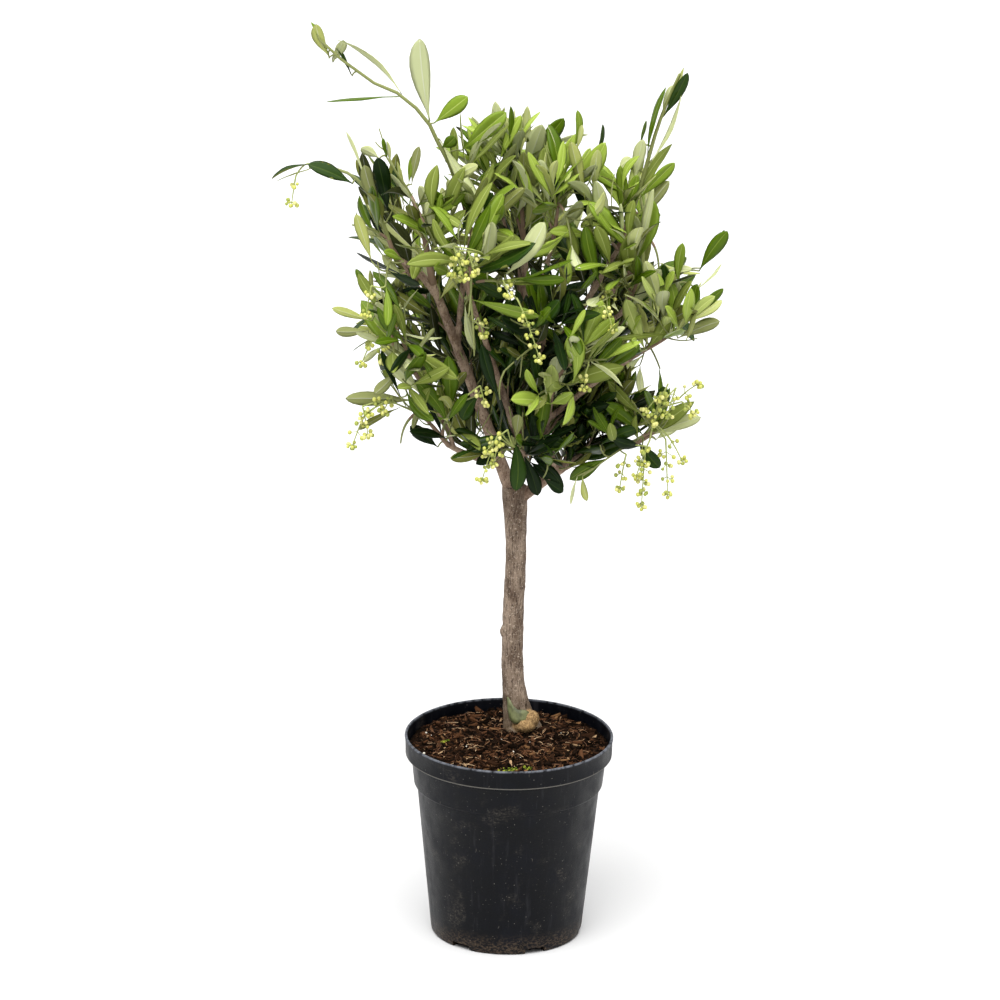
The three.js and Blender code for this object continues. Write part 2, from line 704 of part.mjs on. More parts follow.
function inOwnSpace(mass, point) {
  const nearest = (points) => Math.min(...points.map((p) => p.distanceTo(point)));
  const own = nearest(spaces.get(mass.name));
  return [...spaces].every(([name, points]) => name === mass.name || nearest(points) + GROWTH.slack > own);
}

// True where a solid meets none of the others.
function isClear(solid, others) {
  return others.every((other) => solid.intersect(other).isEmpty());
}

// A mass grown on its framework. others are the solids that it keeps clear of.
function massOfFoliage(mass, { curves, shoots, solid }, others) {
  const drawTwig = draws(mass.seed);
  const drawLeaf = draws(mass.seed + 1);
  const sites = shoots.flatMap((frames, i) => {
    return leafSites(frames, mass.shoots[i].spacing ?? GROWTH.leafSpacing, mass, drawLeaf);
  });
  for (const side of sideTwigs(shoots[0], mass, drawTwig)) {
    const frames = framesAlong(side, TWIG.sideSteps, drawTwig(0, 90));
    const twig = bentCylinder(frames, () => TWIG.tipRadius, TWIG.sides);
    if (!inOwnSpace(mass, side.getPoint(1)) || !isClear(twig, others)) continue;
    solid = solid.add(twig);
    sites.push(...leafSites(frames, GROWTH.leafSpacing, mass, drawLeaf));
  }
  for (const site of sites) {
    const tip = site.point.clone().addScaledVector(leafWay(site), site.length);
    if (!inOwnSpace(mass, tip) || !isClear(leafSolid(site), others)) continue;
    if (isClear(leafSolid(site, false), [solid])) solid = solid.add(leafSolid(site));
  }
  for (const { shoot, at, drop } of mass.panicles) {
    const panicle = panicleSolid(curves[shoot].getPoint(at), vec(drop));
    if (isClear(panicle, others)) solid = solid.add(panicle);
  }
  return largest(solid);
}

// ---------------------------------------------------------------- the whole plant

const tree = new THREE.Group();
tree.add(pot(), soil(), meshOf("trunk", trunkSolid(), "bark"));
for (const row of LIMBS) tree.add(limb(row));

// Frameworks come first, so that no leaf crosses a shoot of a mass that is still to grow.
const frameworks = new Map(MASSES.map((mass) => [mass.name, framework(mass)]));
for (const [name, { curves }] of frameworks) {
  spaces.set(name, curves.flatMap((curve) => curve.getPoints(GROWTH.spacePoints)));
}
const taken = new Map([...frameworks].map(([name, { solid }]) => [name, solid]));
for (const mass of MASSES) {
  taken.delete(mass.name);
  const solid = massOfFoliage(mass, frameworks.get(mass.name), [...cleared.values(), ...taken.values()]);
  taken.set(mass.name, solid);
  tree.add(meshOf("foliage_" + mass.name, solid, "foliage"));
}

export default tree;
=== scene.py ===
"""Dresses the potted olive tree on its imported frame.

Lengths in the tree's own tables are millimetres, as in the part's source. Meshes are in metres.
+Z is up, the origin is the middle of the pot's flat underside, and the front faces -Y.
"""

import sys
import json
import logging
import math
from collections.abc import Callable, Sequence
from dataclasses import dataclass, field, replace
from enum import Enum
from functools import partial

import bpy
import numpy as np
from mathutils import Matrix, Vector, noise

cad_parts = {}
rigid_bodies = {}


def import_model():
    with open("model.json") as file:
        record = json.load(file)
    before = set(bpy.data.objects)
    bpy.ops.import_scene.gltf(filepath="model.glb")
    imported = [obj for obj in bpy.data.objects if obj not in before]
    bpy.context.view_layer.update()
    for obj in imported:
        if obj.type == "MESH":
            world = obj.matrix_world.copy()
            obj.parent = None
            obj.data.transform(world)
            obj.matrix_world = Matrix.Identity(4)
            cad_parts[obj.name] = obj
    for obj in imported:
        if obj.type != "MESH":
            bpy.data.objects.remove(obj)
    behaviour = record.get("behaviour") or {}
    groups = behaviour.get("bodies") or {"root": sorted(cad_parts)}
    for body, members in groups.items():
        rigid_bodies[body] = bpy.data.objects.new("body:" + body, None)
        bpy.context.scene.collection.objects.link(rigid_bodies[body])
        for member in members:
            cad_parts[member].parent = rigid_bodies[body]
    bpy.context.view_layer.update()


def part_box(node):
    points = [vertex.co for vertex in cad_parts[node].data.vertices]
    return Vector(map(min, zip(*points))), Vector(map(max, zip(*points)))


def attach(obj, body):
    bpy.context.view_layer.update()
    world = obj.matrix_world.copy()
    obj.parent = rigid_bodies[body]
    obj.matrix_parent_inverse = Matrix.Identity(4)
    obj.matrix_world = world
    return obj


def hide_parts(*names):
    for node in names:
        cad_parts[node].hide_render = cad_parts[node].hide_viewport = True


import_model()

LOG = logging.getLogger("olive")
MM = 0.001
BODY = "root"
UP = np.array([0.0, 0.0, 1.0])
FOOT_CAP = 0.5
TIP_CAP = 0.8

Point = tuple[float, float, float]
Colour = tuple[float, float, float]
Array = np.ndarray


# ------------------------------------------------------------------ curves and seeded draws


class Draws:
    """Seeded draws from a Lehmer generator, the same as in the part's source."""

    def __init__(self, seed: int) -> None:
        """Starts the row of draws at seed."""
        self.state = seed

    def between(self, low: float = 0.0, high: float = 1.0) -> float:
        """The next draw, between low and high."""
        self.state = (self.state * 48271) % 2147483647
        return low + (high - low) * self.state / 2147483647

    def pick(self, choices: Sequence[int]) -> int:
        """The next draw from a short row of choices."""
        return choices[min(int(self.between() * len(choices)), len(choices) - 1)]


def unit(vector: Array) -> Array:
    """The vector at length one."""
    return vector / max(float(np.linalg.norm(vector)), 1e-12)


def mix(a: float, b: float, t: float) -> float:
    """The value a share t of the way from a to b."""
    return a + (b - a) * t


def turned(vector: Array, axis: Array, degrees: float) -> Array:
    """A vector turned about an axis.

    Args:
        vector: the vector to turn.
        axis: the axis, of length one.
        degrees: how far, by the right-hand rule.

    Returns:
        The turned vector.
    """
    a = math.radians(degrees)
    part = axis * float(np.dot(axis, vector)) * (1 - math.cos(a))
    return vector * math.cos(a) + np.cross(axis, vector) * math.sin(a) + part


def across(direction: Array, degrees: float) -> Array:
    """A unit vector across a direction, turned about it from the level one.

    Args:
        direction: the direction, of length one.
        degrees: how far the level vector is turned.

    Returns:
        The vector across.
    """
    level = np.cross(direction, UP)
    if np.linalg.norm(level) < 0.05:
        level = np.array([1.0, 0.0, 0.0])
    return turned(unit(level), direction, degrees)


def level_way(degrees: float) -> Array:
    """The level direction at an angle from +X towards +Y."""
    return np.array([math.cos(math.radians(degrees)), math.sin(math.radians(degrees)), 0.0])


def flattened(vector: Array, direction: Array) -> Array:
    """What is left of a vector across a direction, at length one."""
    return unit(vector - direction * float(np.dot(vector, direction)))


class Curve:
    """A smooth line in millimetres, read by its share of the way along."""

    def point(self, t: float) -> Array:
        """The point a share t of the way along."""
        raise NotImplementedError

    def tangent(self, t: float) -> Array:
        """The direction at t, at length one.

        Args:
            t: the share of the way along.

        Returns:
            The direction.
        """
        a = max(t - 1e-4, 0.0)
        b = min(t + 1e-4, 1.0)
        return unit(self.point(b) - self.point(a))

    def points(self, steps: int) -> Array:
        """Points at even steps, both ends included."""
        return np.array([self.point(i / steps) for i in range(steps + 1)])

    def length(self) -> float:
        """The length of the line."""
        return float(np.linalg.norm(np.diff(self.points(40), axis=0), axis=1).sum())


@dataclass(frozen=True)
class Spline(Curve):
    """A uniform Catmull-Rom line through points."""

    knots: tuple[Point, ...]

    def point(self, t: float) -> Array:
        """The point at a share of the way along.

        Args:
            t: the share.

        Returns:
            The point.
        """
        knots = [np.array(k, float) for k in self.knots]
        place = (len(knots) - 1) * t
        i = min(int(place), len(knots) - 2)
        w = place - i
        b, c = knots[i], knots[i + 1]
        a = knots[i - 1] if i > 0 else 2 * b - c
        d = knots[i + 2] if i + 2 < len(knots) else 2 * c - b
        start, end = (c - a) / 2, (d - b) / 2
        cubic = 2 * b - 2 * c + start + end
        square = -3 * b + 3 * c - 2 * start - end
        return b + start * w + square * w**2 + cubic * w**3


@dataclass(frozen=True)
class Bend(Curve):
    """A line that leaves start towards control and ends at tip."""

    start: Point
    control: Point
    tip: Point

    def point(self, t: float) -> Array:
        """The point a share t of the way along."""
        a, b, c = (np.array(p, float) for p in (self.start, self.control, self.tip))
        return a * (1 - t) ** 2 + b * 2 * t * (1 - t) + c * t**2


@dataclass(frozen=True)
class Station:
    """A place on a line: its point, the direction there, and one way across it."""

    point: Array
    direction: Array
    out: Array


def stations_along(curve: Curve, steps: int, phase: float = 0.0) -> list[Station]:
    """A line as stations at even steps, with the way across carried along without twist.

    Args:
        curve: the line.
        steps: how many steps.
        phase: degrees that the first way across is turned by.

    Returns:
        One station more than there are steps.
    """
    stations: list[Station] = []
    for i in range(steps + 1):
        direction = curve.tangent(i / steps)
        out = flattened(stations[-1].out, direction) if stations else across(direction, phase)
        stations.append(Station(curve.point(i / steps), direction, out))
    return stations


def station_at(stations: Sequence[Station], t: float) -> Station:
    """The station a share t of the way along, on the straight run between its neighbours.

    Args:
        stations: the stations of a line.
        t: the share of the way along.

    Returns:
        A station between two of them.
    """
    run = min(max(t, 0.0), 1.0) * (len(stations) - 1)
    i = min(int(run), len(stations) - 2)
    a, b = stations[i], stations[i + 1]
    direction = unit(b.point - a.point)
    return Station(a.point + (b.point - a.point) * (run - i), direction, flattened(a.out, direction))


def nearest(lines: Sequence[Sequence[Station]], place: Array, steps: int) -> Station:
    """The station that is nearest to a place.

    Args:
        lines: the stations of each line that is tried.
        place: the place.
        steps: how many steps each line is tried at.

    Returns:
        The nearest of them.
    """
    spots = [station_at(line, i / steps) for line in lines for i in range(steps + 1)]
    return min(spots, key=lambda spot: float(np.linalg.norm(spot.point - place)))


def length_of(stations: Sequence[Station]) -> float:
    """The length along the stations."""
    pairs = zip(stations, stations[1:])
    return float(sum(np.linalg.norm(b.point - a.point) for a, b in pairs))


# ------------------------------------------------------------------ meshes


class Shells:
    """Gathers many small shells into one mesh, each face with its finish."""

    def __init__(self) -> None:
        """Starts with no faces."""
        self.points: list[Array] = []
        self.corners: list[Array] = []
        self.sides: list[Array] = []
        self.slots: list[Array] = []
        self.count = 0

    def add(self, points: Array, faces: Array, slots: Array | int = 0) -> None:
        """Adds a shell.

        Args:
            points: its points, in millimetres, one a row.
            faces: its faces as rows of point numbers, all with as many corners.
            slots: the finish number of each face, or one for all.
        """
        faces = np.asarray(faces, int)
        self.points.append(np.asarray(points, float))
        self.corners.append((faces + self.count).ravel())
        self.sides.append(np.full(len(faces), faces.shape[1], int))
        self.slots.append(np.broadcast_to(np.asarray(slots, int), (len(faces),)))
        self.count += len(points)

    def again(self, faces: Array, slots: Array | int = 0) -> None:
        """Adds more faces on the points of the last shell.

        Args:
            faces: rows of point numbers counted from the last shell's first point.
            slots: the finish number of each face, or one for all.
        """
        faces = np.asarray(faces, int)
        self.corners.append((faces + self.count - len(self.points[-1])).ravel())
        self.sides.append(np.full(len(faces), faces.shape[1], int))
        self.slots.append(np.broadcast_to(np.asarray(slots, int), (len(faces),)))

    def add_rings(
        self,
        rings: Sequence[Array],
        ends: Array,
        slots: Array | int = 0,
        caps: tuple[int, int] = (0, 0),
        flip: bool = False,
    ) -> None:
        """Adds a closed body of rings of points, with a fan of triangles to a point past each end.

        Args:
            rings: the rings, each with as many points.
            ends: the point past the first ring and the point past the last.
            slots: the finish number of each side face, or one for all.
            caps: the finish numbers of the two fans.
            flip: whether the faces look the other way.
        """
        count, columns = len(rings), len(rings[0])
        around = np.arange(columns)
        following = (around + 1) % columns
        first = np.full(columns, count * columns)
        last = (count - 1) * columns
        sides = grid_faces(count, columns)
        foot = np.stack([first, following, around], axis=1)
        head = np.stack([first + 1, around + last, following + last], axis=1)
        if flip:
            sides, foot, head = sides[:, ::-1], foot[:, [0, 2, 1]], head[:, [0, 2, 1]]
        self.add(np.concatenate([*rings, ends]), sides, slots)
        self.again(foot, caps[0])
        self.again(head, caps[1])

    def piece(
        self, name: str, finishes: Sequence[bpy.types.Material], smooth: bool = True
    ) -> bpy.types.Object:
        """The gathered shells as one object.

        Args:
            name: the object's name.
            finishes: the materials that the finish numbers stand for.
            smooth: whether its faces are shaded smooth.

        Returns:
            The object, linked to the scene.
        """
        mesh = bpy.data.meshes.new(name)
        points = np.concatenate(self.points) * MM
        corners = np.concatenate(self.corners)
        sides = np.concatenate(self.sides)
        mesh.vertices.add(len(points))
        mesh.vertices.foreach_set("co", points.astype(np.float32).ravel())
        mesh.loops.add(len(corners))
        mesh.loops.foreach_set("vertex_index", corners.astype(np.int32))
        mesh.polygons.add(len(sides))
        starts = np.concatenate([[0], np.cumsum(sides)[:-1]])
        mesh.polygons.foreach_set("loop_start", starts.astype(np.int32))
        mesh.polygons.foreach_set("material_index", np.concatenate(self.slots).astype(np.int32))
        mesh.polygons.foreach_set("use_smooth", np.full(len(sides), smooth))
        mesh.update(calc_edges=True)
        mesh.validate()
        for finish in finishes:
            mesh.materials.append(finish)
        made = bpy.data.objects.new(name, mesh)
        bpy.context.scene.collection.objects.link(made)
        return made


def grid_faces(rows: int, columns: int) -> Array:
    """Faces between rings of points, ring by ring.

    Args:
        rows: how many rings.
        columns: how many points a ring.

    Returns:
        Four point numbers a face.
    """
    i, j = np.meshgrid(np.arange(rows - 1), np.arange(columns), indexing="ij")
    k = (j + 1) % columns
    faces = [i * columns + j, i * columns + k, (i + 1) * columns + k, (i + 1) * columns + j]
    return np.stack(faces, axis=-1).reshape(-1, 4)


def add_tube(
    shells: Shells,
    stations: Sequence[Station],
    radius_at: Callable[[float], float],
    sides: int,
    slot_at: Callable[[float], int] = lambda t: 0,
) -> None:
    """Adds a closed tube along stations, with a pointed cap of FOOT_CAP or TIP_CAP radii on each end.

    Args:
        shells: what the tube is added to.
        stations: the line that it follows.
        radius_at: its radius at each share of the way along.
        sides: how many sides it has.
        slot_at: the finish number at each share of the way along.
    """
    angles = np.arange(sides) * 2 * math.pi / sides
    rings = []
    last = len(stations) - 1
    for i, station in enumerate(stations):
        side = np.cross(station.direction, station.out)
        ring = np.outer(np.cos(angles), station.out) + np.outer(np.sin(angles), side)
        rings.append(station.point + ring * radius_at(i / last))
    first, end = stations[0], stations[-1]
    caps = [
        first.point - first.direction * radius_at(0) * FOOT_CAP,
        end.point + end.direction * radius_at(1) * TIP_CAP,
    ]
    slots = np.repeat([slot_at((i + 0.5) / last) for i in range(last)], sides)
    shells.add_rings(rings, np.array(caps), slots, (slot_at(0.0), slot_at(1.0)))


def ball(rounds: int) -> tuple[Array, Array]:
    """A unit ball of triangles, from an octahedron halved over and over.

    Args:
        rounds: how many times its faces are quartered.

    Returns:
        Its points and its faces.
    """
    points = [(1, 0, 0), (-1, 0, 0), (0, 1, 0), (0, -1, 0), (0, 0, 1), (0, 0, -1)]
    points = [np.array(p, float) for p in points]
    faces = [(0, 2, 4), (2, 1, 4), (1, 3, 4), (3, 0, 4), (2, 0, 5), (1, 2, 5), (3, 1, 5), (0, 3, 5)]
    for _ in range(rounds):
        halves: dict[tuple[int, int], int] = {}
        finer = []
        for face in faces:
            middles = []
            for a, b in zip(face, (*face[1:], face[0])):
                key = (min(a, b), max(a, b))
                if key not in halves:
                    halves[key] = len(points)
                    points.append(unit(points[a] + points[b]))
                middles.append(halves[key])
            a, b, c = face
            ab, bc, ca = middles
            finer += [(a, ab, ca), (ab, b, bc), (ca, bc, c), (ab, bc, ca)]
        faces = finer
    return np.array(points), np.array(faces)


def points_of(piece: bpy.types.Object) -> Array:
    """The mesh points of a piece, in millimetres, one a row.

    Args:
        piece: the piece.

    Returns:
        Its points.
    """
    flat = np.zeros(len(piece.data.vertices) * 3, np.float32)
    piece.data.vertices.foreach_get("co", flat)
    return flat.reshape(-1, 3).astype(float) / MM


def normals_of(piece: bpy.types.Object) -> Array:
    """The outward ways at the mesh points of a piece, one a row.

    Args:
        piece: the piece.

    Returns:
        One direction a point.
    """
    flat = np.zeros(len(piece.data.vertices) * 3, np.float32)
    piece.data.vertices.foreach_get("normal", flat)
    return flat.reshape(-1, 3).astype(float)


def move_points(piece: bpy.types.Object, points: Array) -> None:
    """Puts the mesh points of a piece at new places, in millimetres."""
    piece.data.vertices.foreach_set("co", (points * MM).astype(np.float32).ravel())
    piece.data.update()


def apply_modifiers(piece: bpy.types.Object) -> None:
    """Makes a piece's modifiers part of its mesh.

    Args:
        piece: the piece.
    """
    graph = bpy.context.evaluated_depsgraph_get()
    mesh = bpy.data.meshes.new_from_object(piece.evaluated_get(graph))
    materials = list(piece.data.materials)
    piece.modifiers.clear()
    piece.data = mesh
    mesh.materials.clear()
    for material in materials:
        mesh.materials.append(material)


def tag(piece: bpy.types.Object, slot: str, *nodes: str) -> None:
    """Fastens a piece to the plant's one body.

    Args:
        piece: the finished piece.
        slot: the record's material slot; not used.
        nodes: the solids that it stands for.
    """
    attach(piece, BODY)
    if nodes:
        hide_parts(*nodes)


def grain(points: Array, scale: tuple[float, float, float], octaves: int = 3, seed: float = 0.0) -> Array:
    """Smooth noise at points, between about -1 and 1.

    Args:
        points: places in millimetres, one a row.
        scale: the size of the largest lumps along x, y and z, in millimetres.
        octaves: how many finer sizes are added.
        seed: moves the pattern.

    Returns:
        One value a point.
    """
    places = points / np.array(scale) + seed
    return np.array([noise.fractal(Vector(p), 0.9, 2.1, octaves) for p in places])


# ------------------------------------------------------------------ finishes


def srgb(red: int, green: int, blue: int) -> Colour:
    """A colour given as screen values from 0 to 255, as linear light."""
    parts = [c / 255 for c in (red, green, blue)]
    return tuple(c / 12.92 if c <= 0.04045 else ((c + 0.055) / 1.055) ** 2.4 for c in parts)


Socket = bpy.types.NodeSocket
Value = Socket | float


class Paint:
    """Builds the nodes of one material round a Principled shader."""

    def __init__(self, name: str, colour: Colour = (0.5, 0.5, 0.5), roughness: float = 0.5) -> None:
        """Starts a material of one colour and roughness.

        Args:
            name: the material's name.
            colour: its colour as linear light.
            roughness: its roughness.
        """
        self.material = bpy.data.materials.new(name)
        self.material.use_nodes = True
        self.tree = self.material.node_tree
        self.shader = self.tree.nodes["Principled BSDF"]
        self.set("Base Color", (*colour, 1.0))
        self.set("Roughness", roughness)

    def set(self, socket: str, value: Socket | float | Sequence[float]) -> None:
        """Feeds or fills a socket of the shader."""
        self.feed(self.shader.inputs[socket], value)

    def feed(self, socket: Socket, value: Socket | float | Sequence[float]) -> None:
        """Links a socket, or fills it where the value is a plain one.

        Args:
            socket: the socket.
            value: another node's output, or a plain value.
        """
        if isinstance(value, bpy.types.NodeSocket):
            self.tree.links.new(value, socket)
        else:
            socket.default_value = value

    def place(self, stretch: Point = (1.0, 1.0, 1.0)) -> Socket:
        """Places on the piece in millimetres.

        Args:
            stretch: what x, y and z are divided by.

        Returns:
            The places.
        """
        coordinates = self.tree.nodes.new("ShaderNodeTexCoord")
        scaled = self.tree.nodes.new("ShaderNodeMapping")
        scaled.inputs["Scale"].default_value = [1 / MM / s for s in stretch]
        self.feed(scaled.inputs["Vector"], coordinates.outputs["Object"])
        return scaled.outputs["Vector"]

    def height(self) -> Socket:
        """The height above the floor in millimetres.

        Returns:
            The height.
        """
        parts = self.tree.nodes.new("ShaderNodeSeparateXYZ")
        self.feed(parts.inputs[0], self.place())
        return parts.outputs["Z"]

    def clouds(
        self, size: float, stretch: Point = (1, 1, 1), detail: float = 4, rough: float = 0.6
    ) -> Socket:
        """Soft noise between 0 and 1.

        Args:
            size: the size of its lumps in millimetres.
            stretch: how much longer they are along x, y and z.
            detail: how many finer sizes are added.
            rough: how strong the finer sizes are.

        Returns:
            The noise value.
        """
        node = self.tree.nodes.new("ShaderNodeTexNoise")
        self.feed(node.inputs["Vector"], self.place(stretch))
        node.inputs["Scale"].default_value = 1 / size
        node.inputs["Detail"].default_value = detail
        node.inputs["Roughness"].default_value = rough
        return node.outputs["Fac"]

    def specks(self, size: float, stretch: Point = (1, 1, 1)) -> Socket:
        """The distance to the nearest of many strewn points.

        Args:
            size: the spacing of the points in millimetres.
            stretch: how much longer the cells are along x, y and z.

        Returns:
            The distance as a share of the spacing.
        """
        node = self.tree.nodes.new("ShaderNodeTexVoronoi")
        self.feed(node.inputs["Vector"], self.place(stretch))
        node.inputs["Scale"].default_value = 1 / size
        return node.outputs["Distance"]

    def band(self, value: Socket, low: float, high: float, top: float = 1.0) -> Socket:
        """A value that rises smoothly from 0 at low to top at high.

        Args:
            value: what is measured.
            low: where the rise starts; more than high for a falling edge.
            high: where it ends.
            top: the value past high.

        Returns:
            The share.
        """
        node = self.tree.nodes.new("ShaderNodeMapRange")
        node.interpolation_type = "SMOOTHSTEP"
        self.feed(node.inputs["Value"], value)
        falling = low > high
        node.inputs["From Min"].default_value = high if falling else low
        node.inputs["From Max"].default_value = low if falling else high
        node.inputs["To Min"].default_value = top if falling else 0.0
        node.inputs["To Max"].default_value = 0.0 if falling else top
        return node.outputs["Result"]

    def sum(self, operation: str, a: Value, b: Value) -> Socket:
        """One step of arithmetic between two values.

        Args:
            operation: what is done.
            a: the first value.
            b: the second value.

        Returns:
            The outcome.
        """
        node = self.tree.nodes.new("ShaderNodeMath")
        node.operation = operation
        self.feed(node.inputs[0], a)
        self.feed(node.inputs[1], b)
        return node.outputs[0]

    def both(self, *masks: Value) -> Socket:
        """The product of several masks.

        Args:
            masks: the masks.

        Returns:
            The product.
        """
        product = masks[0]
        for mask in masks[1:]:
            product = self.sum("MULTIPLY", product, mask)
        return product

    def over(self, base: Socket | Colour, colour: Socket | Colour, mask: Value) -> Socket:
        """One colour laid over another.

        Args:
            base: the colour below.
            colour: the colour on top.
            mask: how much of it covers, from 0 to 1.

        Returns:
            The mixed colour.
        """
        node = self.tree.nodes.new("ShaderNodeMix")
        node.data_type = "RGBA"
        self.feed(node.inputs["Factor"], mask)
        for name, value in (("A", base), ("B", colour)):
            socket = next(s for s in node.inputs if s.name == name and s.type == "RGBA")
            self.feed(socket, value if isinstance(value, bpy.types.NodeSocket) else (*value, 1.0))
        return next(s for s in node.outputs if s.type == "RGBA")

    def own_value(self, name: str) -> Socket:
        """A value that is kept with the piece's points.

        Args:
            name: the name that it is kept under.

        Returns:
            The value.
        """
        node = self.tree.nodes.new("ShaderNodeAttribute")
        node.attribute_name = name
        return node.outputs["Fac"]

    def relief(self, height: Socket, depth: float) -> None:
        """Fine relief of a depth in millimetres.

        Args:
            height: what stands out, from 0 to 1.
            depth: by how much, in millimetres.
        """
        node = self.tree.nodes.new("ShaderNodeBump")
        node.inputs["Distance"].default_value = depth * MM
        self.feed(node.inputs["Height"], height)
        self.set("Normal", node.outputs["Normal"])


@dataclass(frozen=True)
class Plain:
    """A finish of one colour all over."""

    name: str
    colour: Colour
    roughness: float = 0.6
    soft: float = 0.0

    def made(self) -> bpy.types.Material:
        """The material.

        Returns:
            The finished material.
        """
        paint = Paint(self.name, self.colour, self.roughness)
        paint.set("Specular IOR Level", 0.5 - self.soft)
        return paint.material


@dataclass(frozen=True)
class LeafTone:
    """The colours of one kind of leaf: its upper side, its underside and its midrib."""

    name: str
    top: Colour
    under: Colour
    rib: Colour
    gloss: float = 0.34
    soft: float = 0.25

    def made(self) -> list[bpy.types.Material]:
        """The materials of the upper side, its midrib, the underside and its midrib.

        Returns:
            The four materials in that order.
        """
        pale = tuple(mix(u, 0.75, 0.22) for u in self.under)
        return [
            Plain(f"leaf_{self.name}_top", self.top, self.gloss, soft=self.soft).made(),
            Plain(f"leaf_{self.name}_vein", self.rib, 0.5, soft=self.soft).made(),
            Plain(f"leaf_{self.name}_under", self.under, 0.75, soft=0.35).made(),
            Plain(f"leaf_{self.name}_rib", pale, 0.7, soft=0.35).made(),
        ]


class Tone(Enum):
    """The kinds of leaf, from the near-black ones that paint the shade deep in the crown to the newest tips.
    """

    # DEEP is painted shade: near-black leaf colours for the shaded middle and lower inside of the crown.
    DEEP = LeafTone("deep", srgb(17, 33, 9), srgb(58, 64, 30), srgb(38, 54, 20), 0.32, 0.4)
    DARK = LeafTone("dark", srgb(33, 55, 8), srgb(108, 113, 50), srgb(58, 76, 22), 0.31, 0.36)
    GREEN = LeafTone("green", srgb(70, 93, 10), srgb(158, 164, 92), srgb(102, 120, 40), 0.33, 0.35)
    FRESH = LeafTone("fresh", srgb(110, 132, 40), srgb(180, 186, 124), srgb(144, 160, 76), 0.35, 0.36)
    BRIGHT = LeafTone("bright", srgb(140, 160, 62), srgb(184, 190, 120), srgb(166, 182, 92), 0.42, 0.3)
    TIP = LeafTone("tip", srgb(154, 166, 92), srgb(178, 184, 138), srgb(182, 190, 118), 0.42, 0.42)
    SAGE = LeafTone("sage", srgb(112, 124, 54), srgb(184, 190, 138), srgb(146, 157, 88), 0.42, 0.42)
    OLIVE = LeafTone("olive", srgb(84, 97, 36), srgb(128, 133, 82), srgb(106, 116, 58), 0.4, 0.42)


@dataclass(frozen=True)
class Mix:
    """How a mass looks.

    The first five are the share of each tone. outward is how many leaves turn their upper side out,
    the gaps are between leaf pairs and between fine twigs, and young is the tones at a twig's tip.
    """

    deep: float
    dark: float
    green: float
    fresh: float
    sage: float
    outward: float
    pair_gap: float
    twig_gap: float
    young: tuple[Tone, Tone]

    def tone(self, share: float) -> Tone:
        """The tone that a draw settles.

        Args:
            share: a draw from 0 to 1.

        Returns:
            The tone.
        """
        row = (Tone.DEEP, Tone.DARK, Tone.GREEN, Tone.FRESH, Tone.SAGE)
        reached = 0.0
        for tone, part in zip(row, (self.deep, self.dark, self.green, self.fresh, self.sage)):
            reached += part
            if share < reached:
                return tone
        return Tone.GREEN


class Mood(Enum):
    """The mixes that the masses are given, by their place in the crown."""

    PALE = Mix(0.0, 0.08, 0.27, 0.3, 0.35, 0.3, 21, 40, (Tone.SAGE, Tone.FRESH))
    FRESH = Mix(0.06, 0.16, 0.28, 0.25, 0.25, 0.32, 18, 32, (Tone.TIP, Tone.BRIGHT))
    UPPER = Mix(0.06, 0.18, 0.3, 0.16, 0.3, 0.3, 18, 30, (Tone.FRESH, Tone.SAGE))
    GREEN = Mix(0.1, 0.22, 0.28, 0.16, 0.24, 0.3, 18, 30, (Tone.FRESH, Tone.GREEN))
    SAGE = Mix(0.15, 0.25, 0.2, 0.05, 0.35, 0.25, 18, 32, (Tone.SAGE, Tone.GREEN))
    # DARK is painted shade: the inner and low masses mostly take the near-black DEEP leaves for the shade
    # there.
    DARK = Mix(0.66, 0.32, 0.02, 0.0, 0.0, 0.65, 13, 19, (Tone.GREEN, Tone.DARK))


# ------------------------------------------------------------------ the plant's own tables


@dataclass(frozen=True)
class Limb:
    """A limb: what it grows from and where, one point on its way, its tip and its radii."""

    name: str
    parent: str
    at: float
    through: Point
    tip: Point
    foot_radius: float
    tip_radius: float


@dataclass(frozen=True)
class Shoot:
    """A leading shoot.

    through is the points on its way, leafy is the share of it that bears grown leaves, and fork is
    where it leaves the stem, or None where the growing rule settles that.
    """

    tip: Point
    through: tuple[Point, ...] = ()
    leafy: float = 1.0
    fork: float | None = None


@dataclass(frozen=True)
class Hanging:
    """A panicle of buds: the shoot it hangs on, where, and how far its end is away."""

    shoot: int
    at: float
    drop: Point


@dataclass(frozen=True)
class Blade:
    """A leaf that shows well: its ends, width and tone.

    turn is how far its upper side is turned from the front, in degrees, and bend is how far its tip
    curls down, in radians.
    """

    foot: Point
    tip: Point
    width: float
    tone: Tone
    turn: float
    bend: float


@dataclass(frozen=True)
class Sprig:
    """A leafy side shoot inside the crown: its limb, the share of it where it leaves, and its tip."""

    limb: str
    at: float
    tip: Point


@dataclass(frozen=True)
class Cluster:
    """A panicle that shows well: its foot, its end, and how thick with buds it is."""

    foot: Point
    end: Point
    full: float


@dataclass(frozen=True)
class Outline:
    """The crown's outline from in front and a little above, which what grows by rule keeps inside.

    corners are across and up in the middle plane, and slope is how far the view falls for each
    millimetre that it goes back.
    """

    slope: float
    corners: tuple[tuple[float, float], ...]

    def holds(self, point: Array) -> bool:
        """Whether a point shows inside the outline.

        Args:
            point: the point.

        Returns:
            True inside.
        """
        level = point[2] + point[1] * self.slope
        inside = False
        for (x0, z0), (x1, z1) in zip(self.corners, self.corners[1:] + self.corners[:1]):
            if (z0 > level) != (z1 > level) and point[0] < x0 + (x1 - x0) * (level - z0) / (z1 - z0):
                inside = not inside
        return inside


@dataclass(frozen=True)
class Mass:
    """A mass of leaves on one limb."""

    name: str
    limb: str
    seed: int
    leaf: float
    twig: float
    phase: float
    mood: Mood
    shoots: tuple[Shoot, ...]
    panicles: tuple[Hanging, ...] = ()
    blades: tuple[Blade, ...] = ()


